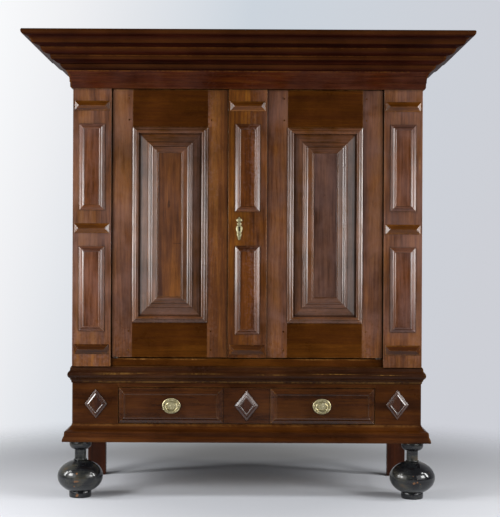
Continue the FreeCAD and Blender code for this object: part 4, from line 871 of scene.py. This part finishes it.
for body, place in PULL_PLACES.items():
    bail = piece(body + "_bow", bail_mesh(place), brass, body)
    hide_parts(body + "_bail")

# Screws that hold the lock and the bolt plate to the backs of the doors.
for name, body, level, columns, rows in (
        ("lock_screws", "right_door", -128, (-72, 8), (1118, 1172)),
        ("bolt_plate_screws", "left_door", -145, (-147, -122), (1603, 1723))):
    drive(name, SCREW, TOWARDS_BACK, iron, body,
          [(x, level, z) for x in columns for z in rows])


# ---- Floor, background and lamps -------------------------------------------------------------

FLOOR_RADIUS, FADE_FROM, FADE_TO = 2.6, 1.15, 2.45


def studio_floor():
    """A round pale floor, a little darker near the kas and with a painted shadow behind it, that
    keeps the cast shadow and fades into the background round it.
    """
    mesh = bpy.data.meshes.new("studio_floor")
    form = bmesh.new()
    bmesh.ops.create_circle(form, cap_ends=True, segments=96, radius=FLOOR_RADIUS)
    form.to_mesh(mesh)
    form.free()
    floor = bpy.data.objects.new("studio_floor", mesh)
    SCENE.collection.objects.link(floor)
    material, tree, shader, place = finish_named("matt_paper_floor")
    fibres = add(tree, "ShaderNodeTexNoise", {"Vector": place.outputs["Object"],
                                              "Scale": 300.0, "Detail": 2.0})
    far = add(tree, "ShaderNodeVectorMath", {0: place.outputs["Object"]}, operation="LENGTH")
    tone = add(tree, "ShaderNodeMath", {0: fibres, 1: 0.15, 2: far.outputs["Value"]},
               operation="MULTIPLY_ADD")
    paper = add(tree, "ShaderNodeValToRGB", {0: tone},
                stops=[(0.5, "cccfd5"), (1.0, "dcdee3")])
    # painted shadow: the paper is darkened in an oval a metre behind the kas
    oval = add(tree, "ShaderNodeMapping", {"Vector": place.outputs["Object"],
                                           "Location": (0, -2.2, 0), "Scale": (1.1, 2.2, 1)})
    behind = add(tree, "ShaderNodeVectorMath", {0: oval}, operation="LENGTH")
    dull = add(tree, "ShaderNodeMapRange", {0: behind.outputs["Value"], 1: 0.2, 2: 1.2, 3: 0.6,
                                            4: 0.0}, interpolation_type="SMOOTHSTEP")
    paper = add(tree, "ShaderNodeMix", {0: dull, 6: paper, 7: linear("8a8780")},
                data_type="RGBA")
    tree.links.new(paper.outputs["Result"], shader.inputs["Base Color"])
    shader.inputs["Roughness"].default_value = 0.9
    shader.inputs["Specular IOR Level"].default_value = 0.1
    fade = add(tree, "ShaderNodeMapRange", {0: far, 1: FADE_FROM, 2: FADE_TO},
               interpolation_type="SMOOTHSTEP")
    gone = add(tree, "ShaderNodeBsdfTransparent")
    mix = add(tree, "ShaderNodeMixShader", {0: fade, 1: shader.outputs["BSDF"], 2: gone})
    tree.links.new(mix.outputs["Shader"], tree.nodes["Material Output"].inputs["Surface"])
    mesh.materials.append(material)


def studio_air():
    """A pale sweep, whiter on the left, round a kas that the lamps light.

    The camera sees it whole. Polish and brass see half of it behind the kas, and hardly any in the
    dim room before it.
    """
    world = bpy.data.worlds.new("studio_air")
    SCENE.world = world
    world.use_nodes = True
    tree = world.node_tree
    dim = tree.nodes["Background"]
    dim.inputs["Color"].default_value = linear("dfe3ea")
    dim.inputs["Strength"].default_value = 0.06
    look = add(tree, "ShaderNodeTexCoord")
    parts = add(tree, "ShaderNodeSeparateXYZ", {0: look.outputs["Generated"]})
    across = add(tree, "ShaderNodeMath", {0: parts.outputs["Z"], 1: -0.25,
                                          2: parts.outputs["X"]}, operation="MULTIPLY_ADD")
    across = add(tree, "ShaderNodeMapRange", {0: across, 1: -0.25, 2: 0.2})
    sweep = add(tree, "ShaderNodeValToRGB", {0: across},
                stops=[(0.0, "f8f9fb"), (0.12, "eff0f3"), (0.24, "e2e5ea"), (0.45, "ccd4dd"),
                       (1.0, "cdcfd6")])
    seen = add(tree, "ShaderNodeBackground", {"Color": sweep, "Strength": 1.0})
    rays = add(tree, "ShaderNodeLightPath")
    straight = add(tree, "ShaderNodeMath", {0: rays.outputs["Is Camera Ray"],
                                            1: rays.outputs["Is Transmission Ray"]},
                   operation="MAXIMUM")
    behind = add(tree, "ShaderNodeMapRange", {0: parts.outputs["Y"], 1: -0.1, 2: 0.5, 3: 0.08,
                                              4: 0.5})
    mirrored = add(tree, "ShaderNodeMath", {0: rays.outputs["Is Glossy Ray"], 1: behind},
                   operation="MULTIPLY")
    share = add(tree, "ShaderNodeMath", {0: straight, 1: mirrored}, operation="MAXIMUM")
    mix = add(tree, "ShaderNodeMixShader", {0: share, 1: dim.outputs["Background"], 2: seen})
    tree.links.new(mix.outputs["Shader"], tree.nodes["World Output"].inputs["Surface"])


LIT_HEIGHT = 1.0
# Name, degrees from the front, distance, height, width, its own height and radiance.
SOFTBOXES = [("left_softbox", -46, 3.3, 1.3, 2.2, 2.0, 1.85),
             ("right_softbox", 46, 3.3, 1.3, 2.2, 2.0, 1.7),
             ("left_core", -55, 2.5, 1.2, 0.7, 0.7, 20.0),
             ("right_core", 57, 3.1, 1.2, 0.8, 0.8, 18.0),
             ("left_strip", -79, 3.3, 1.5, 0.4, 1.5, 23.0),
             ("right_strip", 79, 3.3, 1.5, 0.4, 1.5, 23.0),
             ("left_high_box", -70, 3.3, 2.9, 0.45, 0.45, 24.0),
             ("right_high_box", 70, 3.3, 2.9, 0.45, 0.45, 24.0)]


def softbox(name, angle, distance, height, width, tall, radiance):
    """A soft lamp that stands round the front of the kas and is turned to it."""
    lamp = bpy.data.lights.new(name, "AREA")
    lamp.shape = "RECTANGLE"
    lamp.size, lamp.size_y = width, tall
    lamp.energy = radiance * pi * width * tall          # the watts that give that radiance
    holder = bpy.data.objects.new(name, lamp)
    SCENE.collection.objects.link(holder)
    turn = radians(angle)
    holder.location = (sin(turn) * distance, -cos(turn) * distance, height)
    aim = Vector((0, 0, LIT_HEIGHT)) - holder.location
    holder.rotation_euler = aim.to_track_quat("-Z", "Y").to_euler()


studio_floor()
studio_air()
for lamp in SOFTBOXES:
    softbox(*lamp)
